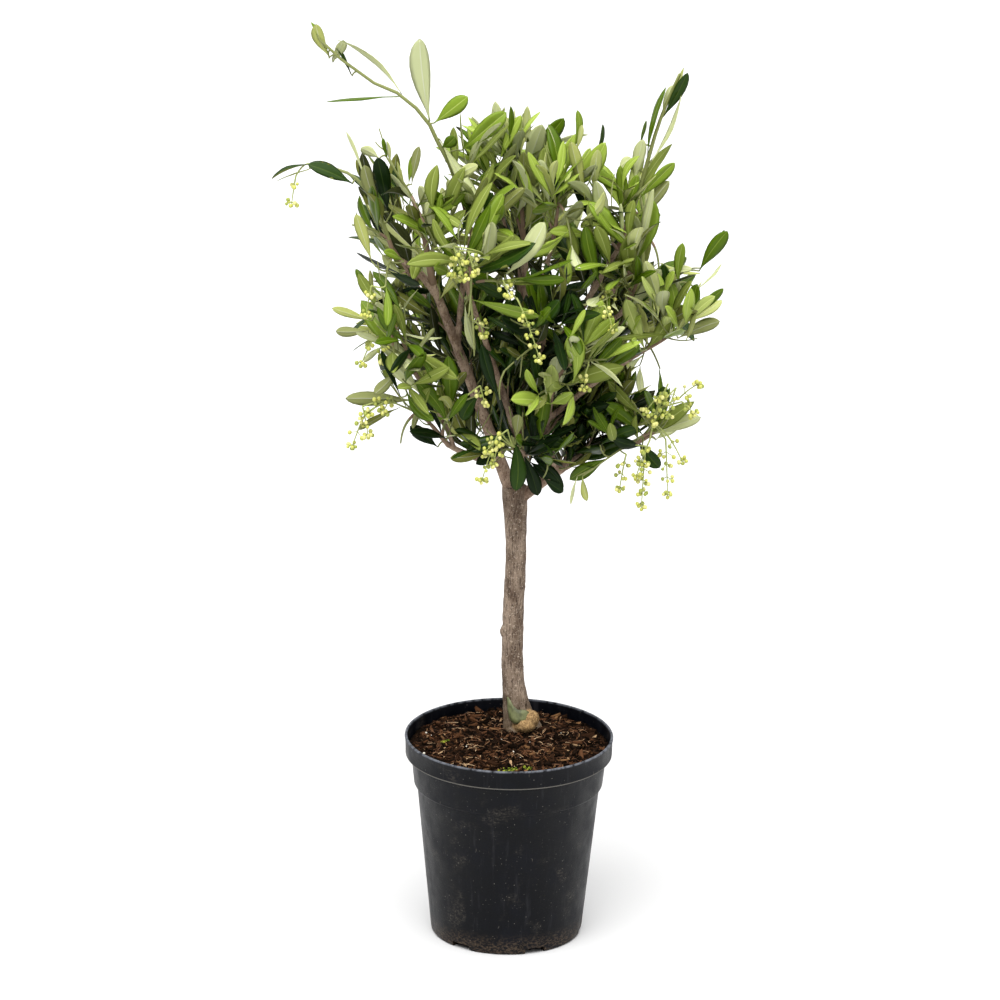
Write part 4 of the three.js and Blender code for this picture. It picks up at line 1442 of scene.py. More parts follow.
@dataclass
class Wood:
    """The trunk and the limbs: one skin with the bark's relief, and the peeled flap at its foot."""

    skeleton: Skeleton
    knots: tuple[Knot, ...] = (
        Knot(10, -42, (9.5, 9.5, 9)),
        Knot(5, -74, (11, 11, 7.5)),
        Knot(102, 195, (4.5, 4.5, 7)),
        Knot(150, -20, (3.5, 3.5, 6)),
        Knot(236, -105, (4, 4, 6)),
    )
    knot_sunk: float = 0.42
    burls: int = 2
    flap: tuple[tuple[float, float, float], ...] = (
        (-132, 22, 34),
        (-122, 13, 33),
        (-108, 9, 26),
        (-92, 8, 22),
        (-76, 9, 22),
        (-62, 13, 21),
        (-52, 17, 19),
    )
    flap_thick: float = 0.9
    flap_bulge: float = 2.6
    flap_gap: float = 0.8
    flap_levels: tuple[float, ...] = (0, 0.35, 0.7, 1)
    in_soil: float = 3.0
    crotch: float = 4.0
    trunk_sides: int = 64
    trunk_steps: int = 130
    limb_sides: int = 14
    step_length: float = 5.0
    trunk_grain: float = 0.85
    limb_grain: float = 1.15
    fissure: float = 0.6
    lumps: float = 0.7

    def build(self) -> list[bpy.types.Object]:
        """The skins of the trunk and of the limbs, and the flap.

        Returns:
            The pieces.
        """
        bark = self.bark()
        trunk = self.skin("wood_trunk", self.trunk_tube(), self.trunk_grain, bark, 1.0)
        limbs = self.skin("wood_limbs", self.limb_tubes(), self.limb_grain, self.bough_bark(), 0.5)
        tag(trunk, "bark", "trunk")
        tag(limbs, "bark", *(limb.name for limb in LIMBS))
        flap = self.peeled_flap()
        tag(flap, "bark", "trunk")
        return [trunk, limbs, flap]

    def peeled_flap(self) -> bpy.types.Object:
        """The green flap of bark that stands off the trunk's foot, a curved plate.

        Returns:
            The flap.
        """
        shells = Shells()
        rows = []
        height = self.skeleton.top[2] - self.skeleton.foot[2]
        for i, (angle, low, high) in enumerate(self.flap):
            share = i / (len(self.flap) - 1)
            outward = level_way(angle)
            turn = np.array([math.radians(angle)])
            row = []
            for layer, levels in ((self.flap_thick, self.flap_levels), (0.0, self.flap_levels[::-1])):
                for level in levels:
                    up = mix(low, high, level)
                    centre = self.skeleton.lines["trunk"].point(up / height)
                    radius = float(self.skeleton.trunk_radius(up / height, turn)[0])
                    bulge = self.flap_bulge * math.sin(math.pi * share) * (1 - level) + self.flap_gap
                    point = centre + outward * (radius + bulge + layer)
                    row.append((point[0], point[1], self.skeleton.foot[2] + up))
            rows.append(np.array(row))
        shells.add_rings(rows, np.array([rows[0].mean(axis=0), rows[-1].mean(axis=0)]))
        return shells.piece("wood_flap", [self.flap_finish()])

    def trunk_tube(self) -> Shells:
        """The trunk as a closed tube with its knots, still smooth.

        Returns:
            The tube and a ball for each knot.
        """
        shells = Shells()
        line = self.skeleton.lines["trunk"]
        angles = np.arange(self.trunk_sides) * 2 * math.pi / self.trunk_sides
        ring = np.stack([np.cos(angles), np.sin(angles), np.zeros_like(angles)], axis=1)
        rows = []
        for i in range(-2, self.trunk_steps + 1):
            t = max(i, 0) / self.trunk_steps
            centre = line.point(t) + UP * min(i, 0) * self.in_soil / 2
            rows.append(centre + ring * self.skeleton.trunk_radius(t, angles)[:, None])
        shells.add_rings(rows, np.array([rows[0].mean(axis=0), rows[-1].mean(axis=0) + UP * self.crotch]))
        points, faces = ball(3)
        for knot in self.knots:
            shells.add(self.knot_middle(knot) + points * np.array(knot.size), faces)
        return shells

    def limb_tubes(self) -> Shells:
        """The limbs as closed tubes, each from its parent's middle line.

        Returns:
            The tubes.
        """
        shells = Shells()
        for limb in LIMBS:
            line = self.skeleton.lines[limb.name]
            steps = max(8, round(line.length() / self.step_length))
            stations = stations_along(line, steps)
            radius = partial(self.skeleton.limb_radius, limb)
            add_tube(shells, stations, radius, self.limb_sides)
        return shells

    def skin(
        self, name: str, shells: Shells, size: float, bark: bpy.types.Material, share: float
    ) -> bpy.types.Object:
        """One closed skin round several tubes, with the bark's relief.

        Args:
            name: the piece's name.
            shells: the tubes.
            size: how fine the skin is, in millimetres.
            bark: its material.
            share: how deep the relief is, as a share of the trunk's.

        Returns:
            The skin.
        """
        piece = shells.piece(name, [])
        remesh = piece.modifiers.new("skin", "REMESH")
        remesh.mode = "VOXEL"
        remesh.voxel_size = size * MM
        remesh.use_smooth_shade = True
        smooth = piece.modifiers.new("smooth", "SMOOTH")
        smooth.factor = 0.5
        smooth.iterations = 3
        apply_modifiers(piece)
        self.roughen(piece, share)
        piece.data.materials.append(bark)
        return piece

    def roughen(self, piece: bpy.types.Object, share: float) -> None:
        """Gives a skin the bark's upright fissures and soft lumps, and keeps how deep each point is.

        Args:
            piece: the skin.
            share: how deep the relief is.
        """
        points = points_of(piece)
        normals = normals_of(piece)
        height = points[:, 2] - self.skeleton.foot[2]
        old = np.clip(1.15 - height / 240, 0.35, 1.0)
        ridges = 1 - 2.2 * np.abs(grain(points, (2.6, 2.6, 17), 3, 3.1))
        lumps = grain(points, (9, 9, 15), 2, 11.7)
        depth = (ridges * self.fissure * old + lumps * self.lumps) * share
        move_points(piece, points + normals * depth[:, None])
        near = np.max(
            [
                1.2 - np.linalg.norm((points - self.knot_middle(burl)) / np.array(burl.size), axis=1)
                for burl in self.knots[: self.burls]
            ],
            axis=0,
        )
        # The kept fissure depth darkens the bark's colour: partly darker bark, partly painted shade.
        self.keep(piece, "dent", np.clip(0.5 - ridges * 0.5, 0, 1))
        self.keep(piece, "burl", np.clip(near * 4, 0, 1))

    def keep(self, piece: bpy.types.Object, name: str, values: Array) -> None:
        """Keeps one value a point with the piece, for its material."""
        kept = piece.data.attributes.new(name, "FLOAT", "POINT")
        kept.data.foreach_set("value", values.astype(np.float32))

    def knot_middle(self, knot: Knot) -> Array:
        """The middle of a knot, partly sunk into the trunk.

        Args:
            knot: the knot.

        Returns:
            Its middle.
        """
        t = knot.height / (self.skeleton.top[2] - self.skeleton.foot[2])
        reach = float(self.skeleton.trunk_radius(t, np.zeros(1))[0]) - knot.size[0] * self.knot_sunk
        middle = self.skeleton.lines["trunk"].point(t) + level_way(knot.angle) * reach
        middle[2] = self.skeleton.foot[2] + knot.height
        return middle

    def flap_finish(self) -> bpy.types.Material:
        """Olive green inner bark with browner and paler patches.

        Returns:
            The material.
        """
        paint = Paint("flap_green", roughness=0.55)
        patches = paint.clouds(6, (1, 1, 1.6), detail=5, rough=0.65)
        base = paint.over(srgb(66, 70, 40), srgb(104, 108, 68), paint.band(patches, 0.36, 0.6))
        base = paint.over(base, srgb(150, 148, 108), paint.band(patches, 0.6, 0.76, 0.7))
        paint.set("Base Color", base)
        paint.relief(patches, 0.2)
        return paint.material

    def bark(self) -> bpy.types.Material:
        """Grey-brown bark with fine upright grain, pale flecks, a tan burl, and fissures darkened by their
        depth, partly darker bark and partly painted shade.

        Returns:
            The material.
        """
        paint = Paint("bark", roughness=0.84)
        patches = paint.clouds(13, (1, 1, 2.0))
        strands = paint.clouds(1.2, (1, 1, 7), detail=6, rough=0.72)
        flecks = paint.clouds(2.2, (1, 1, 0.8), detail=5, rough=0.7)
        scars = paint.specks(7.5, (0.55, 0.55, 1.4))
        base = paint.over(srgb(98, 81, 67), srgb(146, 128, 111), paint.band(patches, 0.36, 0.64))
        base = paint.over(base, srgb(50, 37, 29), paint.band(strands, 0.52, 0.37, 0.9))
        base = paint.over(base, srgb(200, 184, 165), paint.band(flecks, 0.55, 0.67, 0.72))
        # Darker by fissure depth: partly the fissures' darker bark, partly painted shade.
        base = paint.over(base, srgb(46, 34, 26), paint.band(paint.own_value("dent"), 0.5, 0.92, 0.85))
        base = paint.over(base, srgb(58, 42, 32), paint.band(scars, 0.16, 0.08, 0.8))
        low = paint.band(paint.height(), 255, 208, 0.62)
        base = paint.over(base, srgb(74, 60, 40), low)
        tan = paint.over(srgb(116, 88, 52), srgb(170, 138, 90), paint.band(flecks, 0.42, 0.6))
        base = paint.over(base, tan, paint.both(paint.own_value("burl"), 0.9))
        paint.set("Base Color", base)
        paint.set("Specular IOR Level", 0.25)
        paint.relief(strands, 0.3)
        return paint.material

    def bough_bark(self) -> bpy.types.Material:
        """Smoother and warmer bark than the trunk's, with soft pale and dark flecks.

        Returns:
            The material.
        """
        paint = Paint("bough_bark", roughness=0.8)
        patches = paint.clouds(10, (1, 1, 1.6))
        strands = paint.clouds(1.5, (1, 1, 2.5), detail=5, rough=0.7)
        base = paint.over(srgb(112, 91, 75), srgb(154, 133, 114), paint.band(patches, 0.38, 0.62))
        base = paint.over(base, srgb(72, 55, 43), paint.band(strands, 0.48, 0.35, 0.75))
        base = paint.over(base, srgb(188, 170, 150), paint.band(strands, 0.56, 0.7, 0.6))
        # Darker by fissure depth: partly the fissures' darker bark, partly painted shade.
        base = paint.over(base, srgb(60, 45, 35), paint.band(paint.own_value("dent"), 0.5, 0.92, 0.7))
        paint.set("Base Color", base)
        paint.set("Specular IOR Level", 0.25)
        paint.relief(strands, 0.2)
        return paint.material


# ------------------------------------------------------------------ leaves and shoots


@dataclass
class LeafShape:
    """The blade of every leaf, between a blunt and a pointed outline, with a raised midrib."""

    rows: tuple[float, ...] = (0, 0.06, 0.14, 0.26, 0.4, 0.54, 0.67, 0.79, 0.89, 0.955, 1)
    blunt: tuple[float, ...] = (0.075, 0.085, 0.17, 0.42, 0.7, 0.9, 1.0, 0.96, 0.76, 0.46, 0.03)
    pointed: tuple[float, ...] = (0.075, 0.09, 0.2, 0.52, 0.84, 1.0, 0.94, 0.74, 0.45, 0.21, 0.02)
    columns: tuple[float, ...] = (-1, -0.55, -0.06, 0, 0.06, 0.55, 1)
    thickness: float = 0.45
    rib_rise: float = 0.28

    @classmethod
    def plain(cls) -> "LeafShape":
        """A leaf of fewer faces for the inside of the crown.

        Returns:
            The shape.
        """
        return cls(
            rows=(0, 0.12, 0.28, 0.5, 0.72, 0.89, 1),
            blunt=(0.075, 0.15, 0.46, 0.86, 1.0, 0.76, 0.03),
            pointed=(0.075, 0.18, 0.56, 0.97, 0.86, 0.45, 0.02),
            columns=(-1, -0.07, 0.07, 1),
        )

    def faces(self) -> tuple[Array, Array]:
        """The faces of one leaf and, for each, whether it is top, vein, underside or rib.

        Returns:
            The faces and their kinds from 0 to 3.
        """
        wide = len(self.columns)
        rows = len(self.rows)
        inner = wide - 2
        shared = rows * wide

        def under(row: int, column: int) -> int:
            """The underside's point number, which the rim shares with the upper side.

            Args:
                row: the point's row.
                column: its column.

            Returns:
                Its number.
            """
            if column in (0, wide - 1) or row in (0, rows - 1):
                return row * wide + column
            return shared + (row - 1) * inner + column - 1

        faces, kinds = [], []
        for row in range(rows - 1):
            for column in range(wide - 1):
                corners = [(row, column), (row, column + 1), (row + 1, column + 1), (row + 1, column)]
                rib = abs(self.columns[column] + self.columns[column + 1]) < 0.1
                faces.append([r * wide + c for r, c in corners])
                kinds.append(1 if rib else 0)
                faces.append([under(r, c) for r, c in reversed(corners)])
                kinds.append(3 if rib else 2)
        return np.array(faces), np.array(kinds)


@dataclass
class LeafCrop:
    """Leaves gathered for one joined mesh, as one list for each value."""

    shape: LeafShape
    foot: list[Array] = field(default_factory=list)
    way: list[Array] = field(default_factory=list)
    up: list[Array] = field(default_factory=list)
    length: list[float] = field(default_factory=list)
    width: list[float] = field(default_factory=list)
    bend: list[float] = field(default_factory=list)
    keen: list[float] = field(default_factory=list)
    tone: list[Tone] = field(default_factory=list)

    def grow(
        self,
        foot: Array,
        way: Array,
        up: Array,
        size: tuple[float, float],
        form: tuple[float, float],
        tone: Tone,
    ) -> None:
        """Adds a leaf.

        Args:
            foot: the point that its stalk leaves the twig from.
            way: the direction that it sets out in.
            up: the direction of its upper side.
            size: its length and full width.
            form: how far its tip turns down, in radians, and how pointed it is, from 0 to 1.
            tone: its kind.
        """
        self.foot.append(foot)
        self.way.append(way)
        self.up.append(up)
        self.length.append(size[0])
        self.width.append(size[1])
        self.bend.append(form[0])
        self.keen.append(form[1])
        self.tone.append(tone)

    def points(self, seed: int) -> Array:
        """The points of all leaves: their upper sides with the rims, then the rest of the undersides.

        Args:
            seed: settles how each leaf folds, rolls, waves and twists.

        Returns:
            An array of leaves by points by 3.
        """
        chance = np.random.default_rng(seed)
        count = len(self.foot)
        shape = self.shape
        t = np.array(shape.rows)[None, :, None]
        u = np.array(shape.columns)[None, None, :]
        keen = np.array(self.keen)[:, None, None]
        blunt = np.array(shape.blunt)[None, :, None]
        pointed = np.array(shape.pointed)[None, :, None]
        outline = blunt * (1 - keen) + pointed * keen
        half = outline * np.array(self.width)[:, None, None] / 2
        length = np.array(self.length)[:, None, None]
        fold = chance.uniform(0.06, 0.46, count)[:, None, None]
        roll = chance.uniform(0.0, 0.3, count)[:, None, None]
        wave = chance.uniform(0.0, 0.13, count)[:, None, None]
        turns = chance.uniform(1.0, 2.2, count)[:, None, None]
        phase = chance.uniform(0.0, 6.28, count)[:, None, None]
        twist = chance.normal(0.0, 0.28, count)[:, None, None] * t
        side = chance.normal(0.0, 0.07, count)[:, None, None]
        lean = chance.uniform(0.88, 1.12, count)[:, None, None]
        bend = np.array(self.bend)[:, None, None]
        bend = np.where(np.abs(bend) < 1e-3, 1e-3, bend)
        angle = -bend * t
        along = np.sin(bend * t) / bend * length
        sink = -(1 - np.cos(bend * t)) / bend * length
        x = u * half * np.where(u > 0, lean, 2 - lean) + side * length * t * (1 - t) * 2
        edge = np.abs(u)
        lift = half * (fold * edge - roll * edge**3)
        ripple = np.sin(turns * 6.28 * t + phase + np.where(u > 0, 0.9, 0.0))
        lift = lift + half * wave * ripple * edge**2 * np.sin(math.pi * np.minimum(t * 1.1, 1))
        way = np.array(self.way)[:, None, None, :]
        up = np.array(self.up)[:, None, None, :]
        across_leaf = np.cross(way, up)
        ahead = way * np.cos(angle)[..., None] + up * np.sin(angle)[..., None]
        normal = up * np.cos(angle)[..., None] - way * np.sin(angle)[..., None]
        wide = across_leaf * np.cos(twist)[..., None] + normal * np.sin(twist)[..., None]
        normal = np.cross(wide, ahead)
        spine = np.array(self.foot)[:, None, None, :] + way * along[..., None] + up * sink[..., None]
        rib = np.where(edge < 0.05, 1.0, 0.0) * np.clip(1.15 - t, 0, 1)
        body = shape.thickness / 2 * (1 - edge**4)
        stalk = np.clip(1 - t / 0.2, 0, 1) * 0.35 * (edge < 0.3)
        above = spine + wide * x[..., None] + normal * (lift + body + stalk - rib * 0.1)[..., None]
        below = above - normal * (2 * body + 2 * stalk + rib * shape.rib_rise)[..., None]
        rows, columns = len(shape.rows), len(shape.columns)
        top = above.reshape(count, rows * columns, 3)
        bottom = below[:, 1:-1, 1:-1].reshape(count, (rows - 2) * (columns - 2), 3)
        return np.concatenate([top, bottom], axis=1)

    def pieces(self, name: str, seed: int, most: int) -> list[bpy.types.Object]:
        """The leaves as joined meshes.

        Args:
            name: the start of the pieces' names.
            seed: settles how the leaves differ.
            most: the most triangles in a piece.

        Returns:
            The pieces.
        """
        points = self.points(seed)
        faces, kinds = self.shape.faces()
        tones = sorted(set(self.tone), key=lambda tone: tone.name)
        finishes = [finish for tone in tones for finish in tone.value.made()]
        numbers = np.array([tones.index(tone) * 4 for tone in self.tone])
        share = max(1, math.ceil(len(points) * len(faces) * 2 / most))
        made = []
        for part in range(share):
            own = slice(part * len(points) // share, (part + 1) * len(points) // share)
            group = points[own]
            shells = Shells()
            step = np.arange(len(group))[:, None, None] * group.shape[1]
            slots = (numbers[own][:, None] + kinds[None, :]).ravel()
            shells.add(group.reshape(-1, 3), (faces[None] + step).reshape(-1, 4), slots)
            made.append(shells.piece(f"{name}_{part + 1}", finishes))
        return made


@dataclass
class Twig:
    """A shoot that bears leaves: its stations, its radii, and the shares that are brown and leafy."""

    stations: list[Station]
    foot_radius: float
    tip_radius: float
    brown: float
    order: int
    leafy: float = 1.0

    def radius(self, t: float) -> float:
        """Its radius at a share of its length."""
        return mix(self.foot_radius, self.tip_radius, t**0.85)

    def colour(self, t: float) -> int:
        """Its finish number at a share of its length, 0 for brown and 1 for green."""
        return 0 if t < self.brown else 1


# The heart's inner leaves take the DARK mix, which is painted shade for the inside of the crown.
HEART = Mass("heart", "trunk", 211, 50, 0, 0, Mood.DARK, ())
FOLIAGE = tuple(f"foliage_{mass.name}" for mass in MASSES)


@dataclass(frozen=True)
class Growth:
    """The rule that shoots, twigs and leaves grow by; lengths in millimetres, angles in degrees."""

    first_fork: float = 0.12
    last_fork: float = 0.62
    follow: float = 0.35
    bend: float = 0.45
    foot_gap: float = 0.3
    twig_first: float = 24
    twig_spacing: float = 46
    twig_angle: float = 52
    twig_reach: tuple[float, float] = (0.8, 1.25)
    twig_bend: float = 0.55
    twig_lift: float = 0.3
    fine_reach: tuple[float, float] = (18, 40)
    low_angle: float = 52
    tip_angle: float = 22
    spread: float = 11
    leaf_twist: float = 34
    leaf_lift: float = 0.3
    leaf_size: tuple[float, float] = (0.82, 1.42)
    young: float = 0.66
    slender: tuple[float, float] = (0.19, 0.31)
    middle: Point = (4, 35, 640)
    shade_middle: Point = (22, 45, 560)
    shade_reach: Point = (115, 95, 115)
    front: Point = (0, -0.94, 0.34)
    stalk_from: float = 3
    blade_keen: float = 0.18
    panicle_room: float = 9
    front_limit: float = -104
    front_drop: float = 25
    limb_room: float = 1.5
    young_reach: float = 34
    last_pair: float = 3
    shown: tuple[str, ...] = ("limb_left", "bough_front")
    shown_room: float = 6.5
    side_radii: tuple[float, float] = (1.1, 0.6)
    fine_radii: tuple[float, float] = (0.9, 0.55)
    stalk_radii: tuple[float, float] = (1.1, 0.7)
    sprig_radii: tuple[float, float] = (1.6, 0.7)
    phase_step: float = 40
    slack: float = 18
    stem_steps: int = 10
    twig_steps: int = 5


@dataclass
class Crown:
    """Every shoot, twig, leaf and panicle, grown on from the tips of the limbs."""

    skeleton: Skeleton
    rule: Growth = Growth()
    shape: LeafShape = field(default_factory=LeafShape)
    most: int = 190_000
    twigs: list[Twig] = field(default_factory=list)
    shoots: dict[str, list[list[Station]]] = field(default_factory=dict)

    def __post_init__(self) -> None:
        """Runs the leading shoots and readies the clearance from the limbs."""
        self.mature = LeafCrop(self.shape)
        self.young = LeafCrop(self.shape)
        self.inner = LeafCrop(LeafShape.plain())
        self.low, self.high = (np.array(corner) / MM for corner in self.reach())
        for mass in MASSES:
            self.shoots[mass.name] = self.leading_shoots(mass)
        self.own_points = {
            name: np.array([station.point for shoot in shoots for station in shoot])
            for name, shoots in self.shoots.items()
        }
        self.hanging = self.panicle_points()
        shown = [self.skeleton.lines[name] for name in self.rule.shown]
        self.shown = np.array([line.point(i / 24) for line in shown for i in range(2, 25)])
        starts, ends, radii = [], [], []
        trunk = self.skeleton.lines["trunk"].points(16)
        limbs = [(trunk, np.full(17, self.skeleton.radius + 1))]
        for limb in LIMBS:
            around = np.array([self.skeleton.limb_radius(limb, i / 10) for i in range(11)])
            limbs.append((self.skeleton.lines[limb.name].points(10), around))
        for line, around in limbs:
            starts.append(line[:-1])
            ends.append(line[1:])
            radii.append(around[:-1])
        self.limb_starts = np.concatenate(starts)
        self.limb_runs = np.concatenate(ends) - self.limb_starts
        self.limb_radii = np.concatenate(radii)

    @staticmethod
    def reach() -> tuple[Point, Point]:
        """The corners of the box round all masses.

        Returns:
            The low corner and the high one.
        """
        boxes = [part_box(node) for node in FOLIAGE]
        lows, highs = np.array([box[0] for box in boxes]), np.array([box[1] for box in boxes])
        return tuple(lows.min(axis=0)), tuple(highs.max(axis=0))

    @staticmethod
    def panicle_points() -> Array:
        """Points down the middle of the panicles that show well, which leaves keep clear of.

        Returns:
            The points, one a row.
        """
        shares = np.linspace(0.1, 1, 8)[:, None]
        runs = [(np.array(row.foot, float), np.array(row.end, float)) for row in CLUSTERS]
        return np.concatenate([mix(foot, end, shares) for foot, end in runs])

    def shoot_line(self, start: Array, direction: Array, follow: float, shoot: Shoot) -> Curve:
        """A shoot that leaves a line and turns towards its own tip.

        Args:
            start: where it leaves.
            direction: the line's own direction there.
            follow: how nearly it sets out in that direction.
            shoot: its tip and the points on its way.

        Returns:
            Its line.
        """
        if shoot.through:
            return Spline((tuple(start), *shoot.through, shoot.tip))
        tip = np.array(shoot.tip, float)
        way = unit(tip - start)
        way = unit(way + (direction - way) * follow)
        control = start + way * float(np.linalg.norm(tip - start)) * self.rule.bend
        return Bend(tuple(start), tuple(control), shoot.tip)

    def leading_shoots(self, mass: Mass) -> list[list[Station]]:
        """The stem on from the limb's tip and its side shoots.

        Args:
            mass: the mass.

        Returns:
            The stations of each shoot.
        """
        rule = self.rule
        limb = self.skeleton.lines[mass.limb]
        direction = limb.tangent(1.0)
        foot = limb.point(1.0) + direction * rule.foot_gap
        stem = self.shoot_line(foot, direction, 1.0, mass.shoots[0])
        lines = [stem]
        for i, shoot in enumerate(mass.shoots[1:]):
            at = mix(rule.first_fork, rule.last_fork, i / max(1, len(mass.shoots) - 2))
            at = at if shoot.fork is None else shoot.fork
            lines.append(self.shoot_line(stem.point(at), stem.tangent(at), rule.follow, shoot))
        steps = rule.stem_steps
        phases = [mass.phase + rule.phase_step * i for i in range(len(lines))]
        return [stations_along(line, steps, phase) for line, phase in zip(lines, phases)]

    def side_twigs(self, mass: Mass, stem: list[Station]) -> list[list[Station]]:
        """The solids' own side twigs on a stem.

        Args:
            mass: the mass.
            stem: the stem's stations.

        Returns:
            The stations of each twig.
        """
        rule = self.rule
        draw = Draws(mass.seed)
        length = length_of(stem)
        made = []
        back = rule.twig_first
        while mass.twig and back < length:
            at = station_at(stem, 1 - back / length)
            turn = draw.between(0, 360)
            reach = mass.twig * draw.between(*rule.twig_reach)
            made.append(self.side_twig(at, turn, reach, draw.between(0, 90)))
            back += rule.twig_spacing
        return made

    def side_twig(self, at: Station, turn: float, reach: float, phase: float) -> list[Station]:
        """One twig off a shoot, bent upwards.

        Args:
            at: where it leaves the shoot.
            turn: degrees round the shoot.
            reach: how long it is.
            phase: degrees that its first leaf pair is turned by.

        Returns:
            Its stations.
        """
        rule = self.rule
        lean = math.radians(rule.twig_angle)
        way = at.direction * math.cos(lean) + across(at.direction, turn) * math.sin(lean)
        control = at.point + way * reach * rule.twig_bend
        tip = at.point + way * reach + UP * reach * rule.twig_lift
        return stations_along(Bend(tuple(at.point), tuple(control), tuple(tip)), rule.twig_steps, phase)

    def fine_twigs(self, mass: Mass, shoot: list[Station], leafy: float, draw: Draws) -> list[list[Station]]:
        """Short twigs between the leaves, which the solids leave out.

        Args:
            mass: the mass.
            shoot: the shoot that bears them.
            leafy: the share of the shoot that bears any.
            draw: the mass's draws for fine twigs.

        Returns:
            The stations of each twig.
        """
        rule = self.rule
        length = length_of(shoot)
        made = []
        gap = mass.mood.value.twig_gap
        back = mix(0.7, 1.3, draw.between()) * gap
        while back < length * 0.92:
            at = station_at(shoot, 1 - back / length)
            reach = draw.between(*rule.fine_reach)
            twig = self.side_twig(at, draw.between(0, 360), reach, draw.between(0, 90))
            if 1 - back / length < leafy:
                made.append(twig)
            back += gap * draw.between(0.8, 1.25)
        return made

    def grow(self) -> None:
        """Grows every mass."""
        for mass in MASSES:
            tip_radius = next(limb.tip_radius for limb in LIMBS if limb.name == mass.limb)
            fine = Draws(mass.seed + 2)
            leaf = Draws(mass.seed + 3)
            shoots = self.shoots[mass.name]
            borne = []
            for i, shoot in enumerate(shoots):
                thick = tip_radius if i == 0 else min(1.9, tip_radius * 0.7)
                leafy = mass.shoots[i].leafy
                brown = 0.15 if leafy < 1 else 0.6 if i == 0 else 0.35
                borne.append(Twig(shoot, thick, 1.25 if leafy < 1 else 0.8, brown, 0, leafy))
            for twig in self.side_twigs(mass, shoots[0]):
                borne.append(Twig(twig, *self.rule.side_radii, 0.0, 1))
            for shoot in list(borne):
                for twig in self.fine_twigs(mass, shoot.stations, shoot.leafy, fine):
                    borne.append(Twig(twig, *self.rule.fine_radii, 0.0, 2))
            for twig in borne:
                if twig.order < 2 or self.has_room(mass, twig.stations[-1].point):
                    reach = self.leaves_on(mass, twig, leaf)
                    kept = len(twig.stations) if mass.blades else math.ceil(reach * len(twig.stations))
                    if kept > 2:
                        self.twigs.append(replace(twig, stations=twig.stations[:kept]))
            for blade in mass.blades:
                self.hang_blade(mass, blade)
        self.grow_sprigs()

    def grow_sprigs(self) -> None:
        """Grows the leafy side shoots that fill the inside of the crown."""
        draw = Draws(HEART.seed)
        for sprig in SPRIGS:
            line = self.skeleton.lines[sprig.limb]
            foot, tip = line.point(sprig.at), np.array(sprig.tip, float)
            control = foot + (unit(tip - foot) + line.tangent(sprig.at)) * np.linalg.norm(tip - foot) * 0.25
            stations = stations_along(Bend(tuple(foot), tuple(control), sprig.tip), 6, draw.between(0, 90))
            borne = [Twig(stations, *self.rule.sprig_radii, 0.7, 1)]
            for fine in self.fine_twigs(HEART, stations, 1.0, draw):
                borne.append(Twig(fine, *self.rule.fine_radii, 0.0, 2))
            for twig in borne:
                self.twigs.append(twig)
                self.leaves_on(HEART, twig, draw)

    def hang_blade(self, mass: Mass, blade: Blade) -> None:
        """Sets a leaf that shows well, on a stalk of its own where no shoot passes its foot.

        Args:
            mass: the mass.
            blade: the leaf.
        """
        foot, tip = np.array(blade.foot, float), np.array(blade.tip, float)
        near = nearest(self.shoots[mass.name], foot, 40)
        away = float(np.linalg.norm(near.point - foot))
        if away > self.rule.stalk_from:
            control = near.point + unit(near.direction + unit(foot - near.point)) * away * 0.5
            line = Bend(tuple(near.point), tuple(control), tuple(foot))
            self.twigs.append(Twig(stations_along(line, 5), *self.rule.stalk_radii, 0.0, 1))
        chord = unit(tip - foot)
        up = turned(flattened(np.array(self.rule.front), chord), chord, blade.turn)
        half = blade.bend / 2
        way = chord * math.cos(half) + up * math.sin(half)
        up = up * math.cos(half) - chord * math.sin(half)
        length = float(np.linalg.norm(tip - foot)) * half / math.sin(half)
        young = blade.tone in (Tone.TIP, Tone.BRIGHT, Tone.FRESH)
        crop = self.young if young else self.mature
        crop.grow(foot, way, up, (length, blade.width), (blade.bend, self.rule.blade_keen), blade.tone)

    def leaves_on(self, mass: Mass, twig: Twig, draw: Draws) -> float:
        """Grows the leaf pairs of one twig, counted back from its tip.

        Args:
            mass: the mass.
            twig: the twig.
            draw: the mass's draws for leaves.

        Returns:
            The share of the twig up to its last leaf.
        """
        rule = self.rule
        length = length_of(twig.stations)
        pair = 0
        back = 0.5
        reach = 0.0
        while back < length - rule.last_pair:
            t = 1 - back / length
            if t > twig.leafy:
                back += mass.mood.value.pair_gap
                continue
            at = station_at(twig.stations, t)
            young = max(0.0, 1 - back / rule.young_reach)
            for side in (0, 180):
                out = turned(at.out, at.direction, side + 90 * (pair % 2) + draw.between(-12, 12))
                angle = mix(rule.low_angle, rule.tip_angle, (t if length > 30 else 0.6) ** 2)
                angle += draw.between(-rule.spread, rule.spread)
                lean = math.radians(angle)
                way = unit(at.direction * math.cos(lean) + out * math.sin(lean) + UP * rule.leaf_lift)
                size = mass.leaf * mix(1, rule.young, young**1.5) * draw.between(*rule.leaf_size)
                slender = draw.between(*rule.slender)
                twist = draw.between(-rule.leaf_twist, rule.leaf_twist)
                bend = draw.between(-0.15, 0.75)
                share = draw.between()
                up = flattened(at.direction * math.sin(lean) - out * math.cos(lean), way)
                up = turned(up, way, twist)
                foot = at.point + out * twig.radius(t) * 0.7
                inward = float(np.dot(up, foot - np.array(rule.middle))) < 0
                if draw.between() < mass.mood.value.outward and inward:
                    up = -up
                tip = foot + way * size * 0.97
                if not self.is_open(mass, foot, tip):
                    continue
                tone = mass.mood.value.tone(share)
                if young > 0.55:
                    tone = mass.mood.value.young[0 if share < 0.35 else 1]
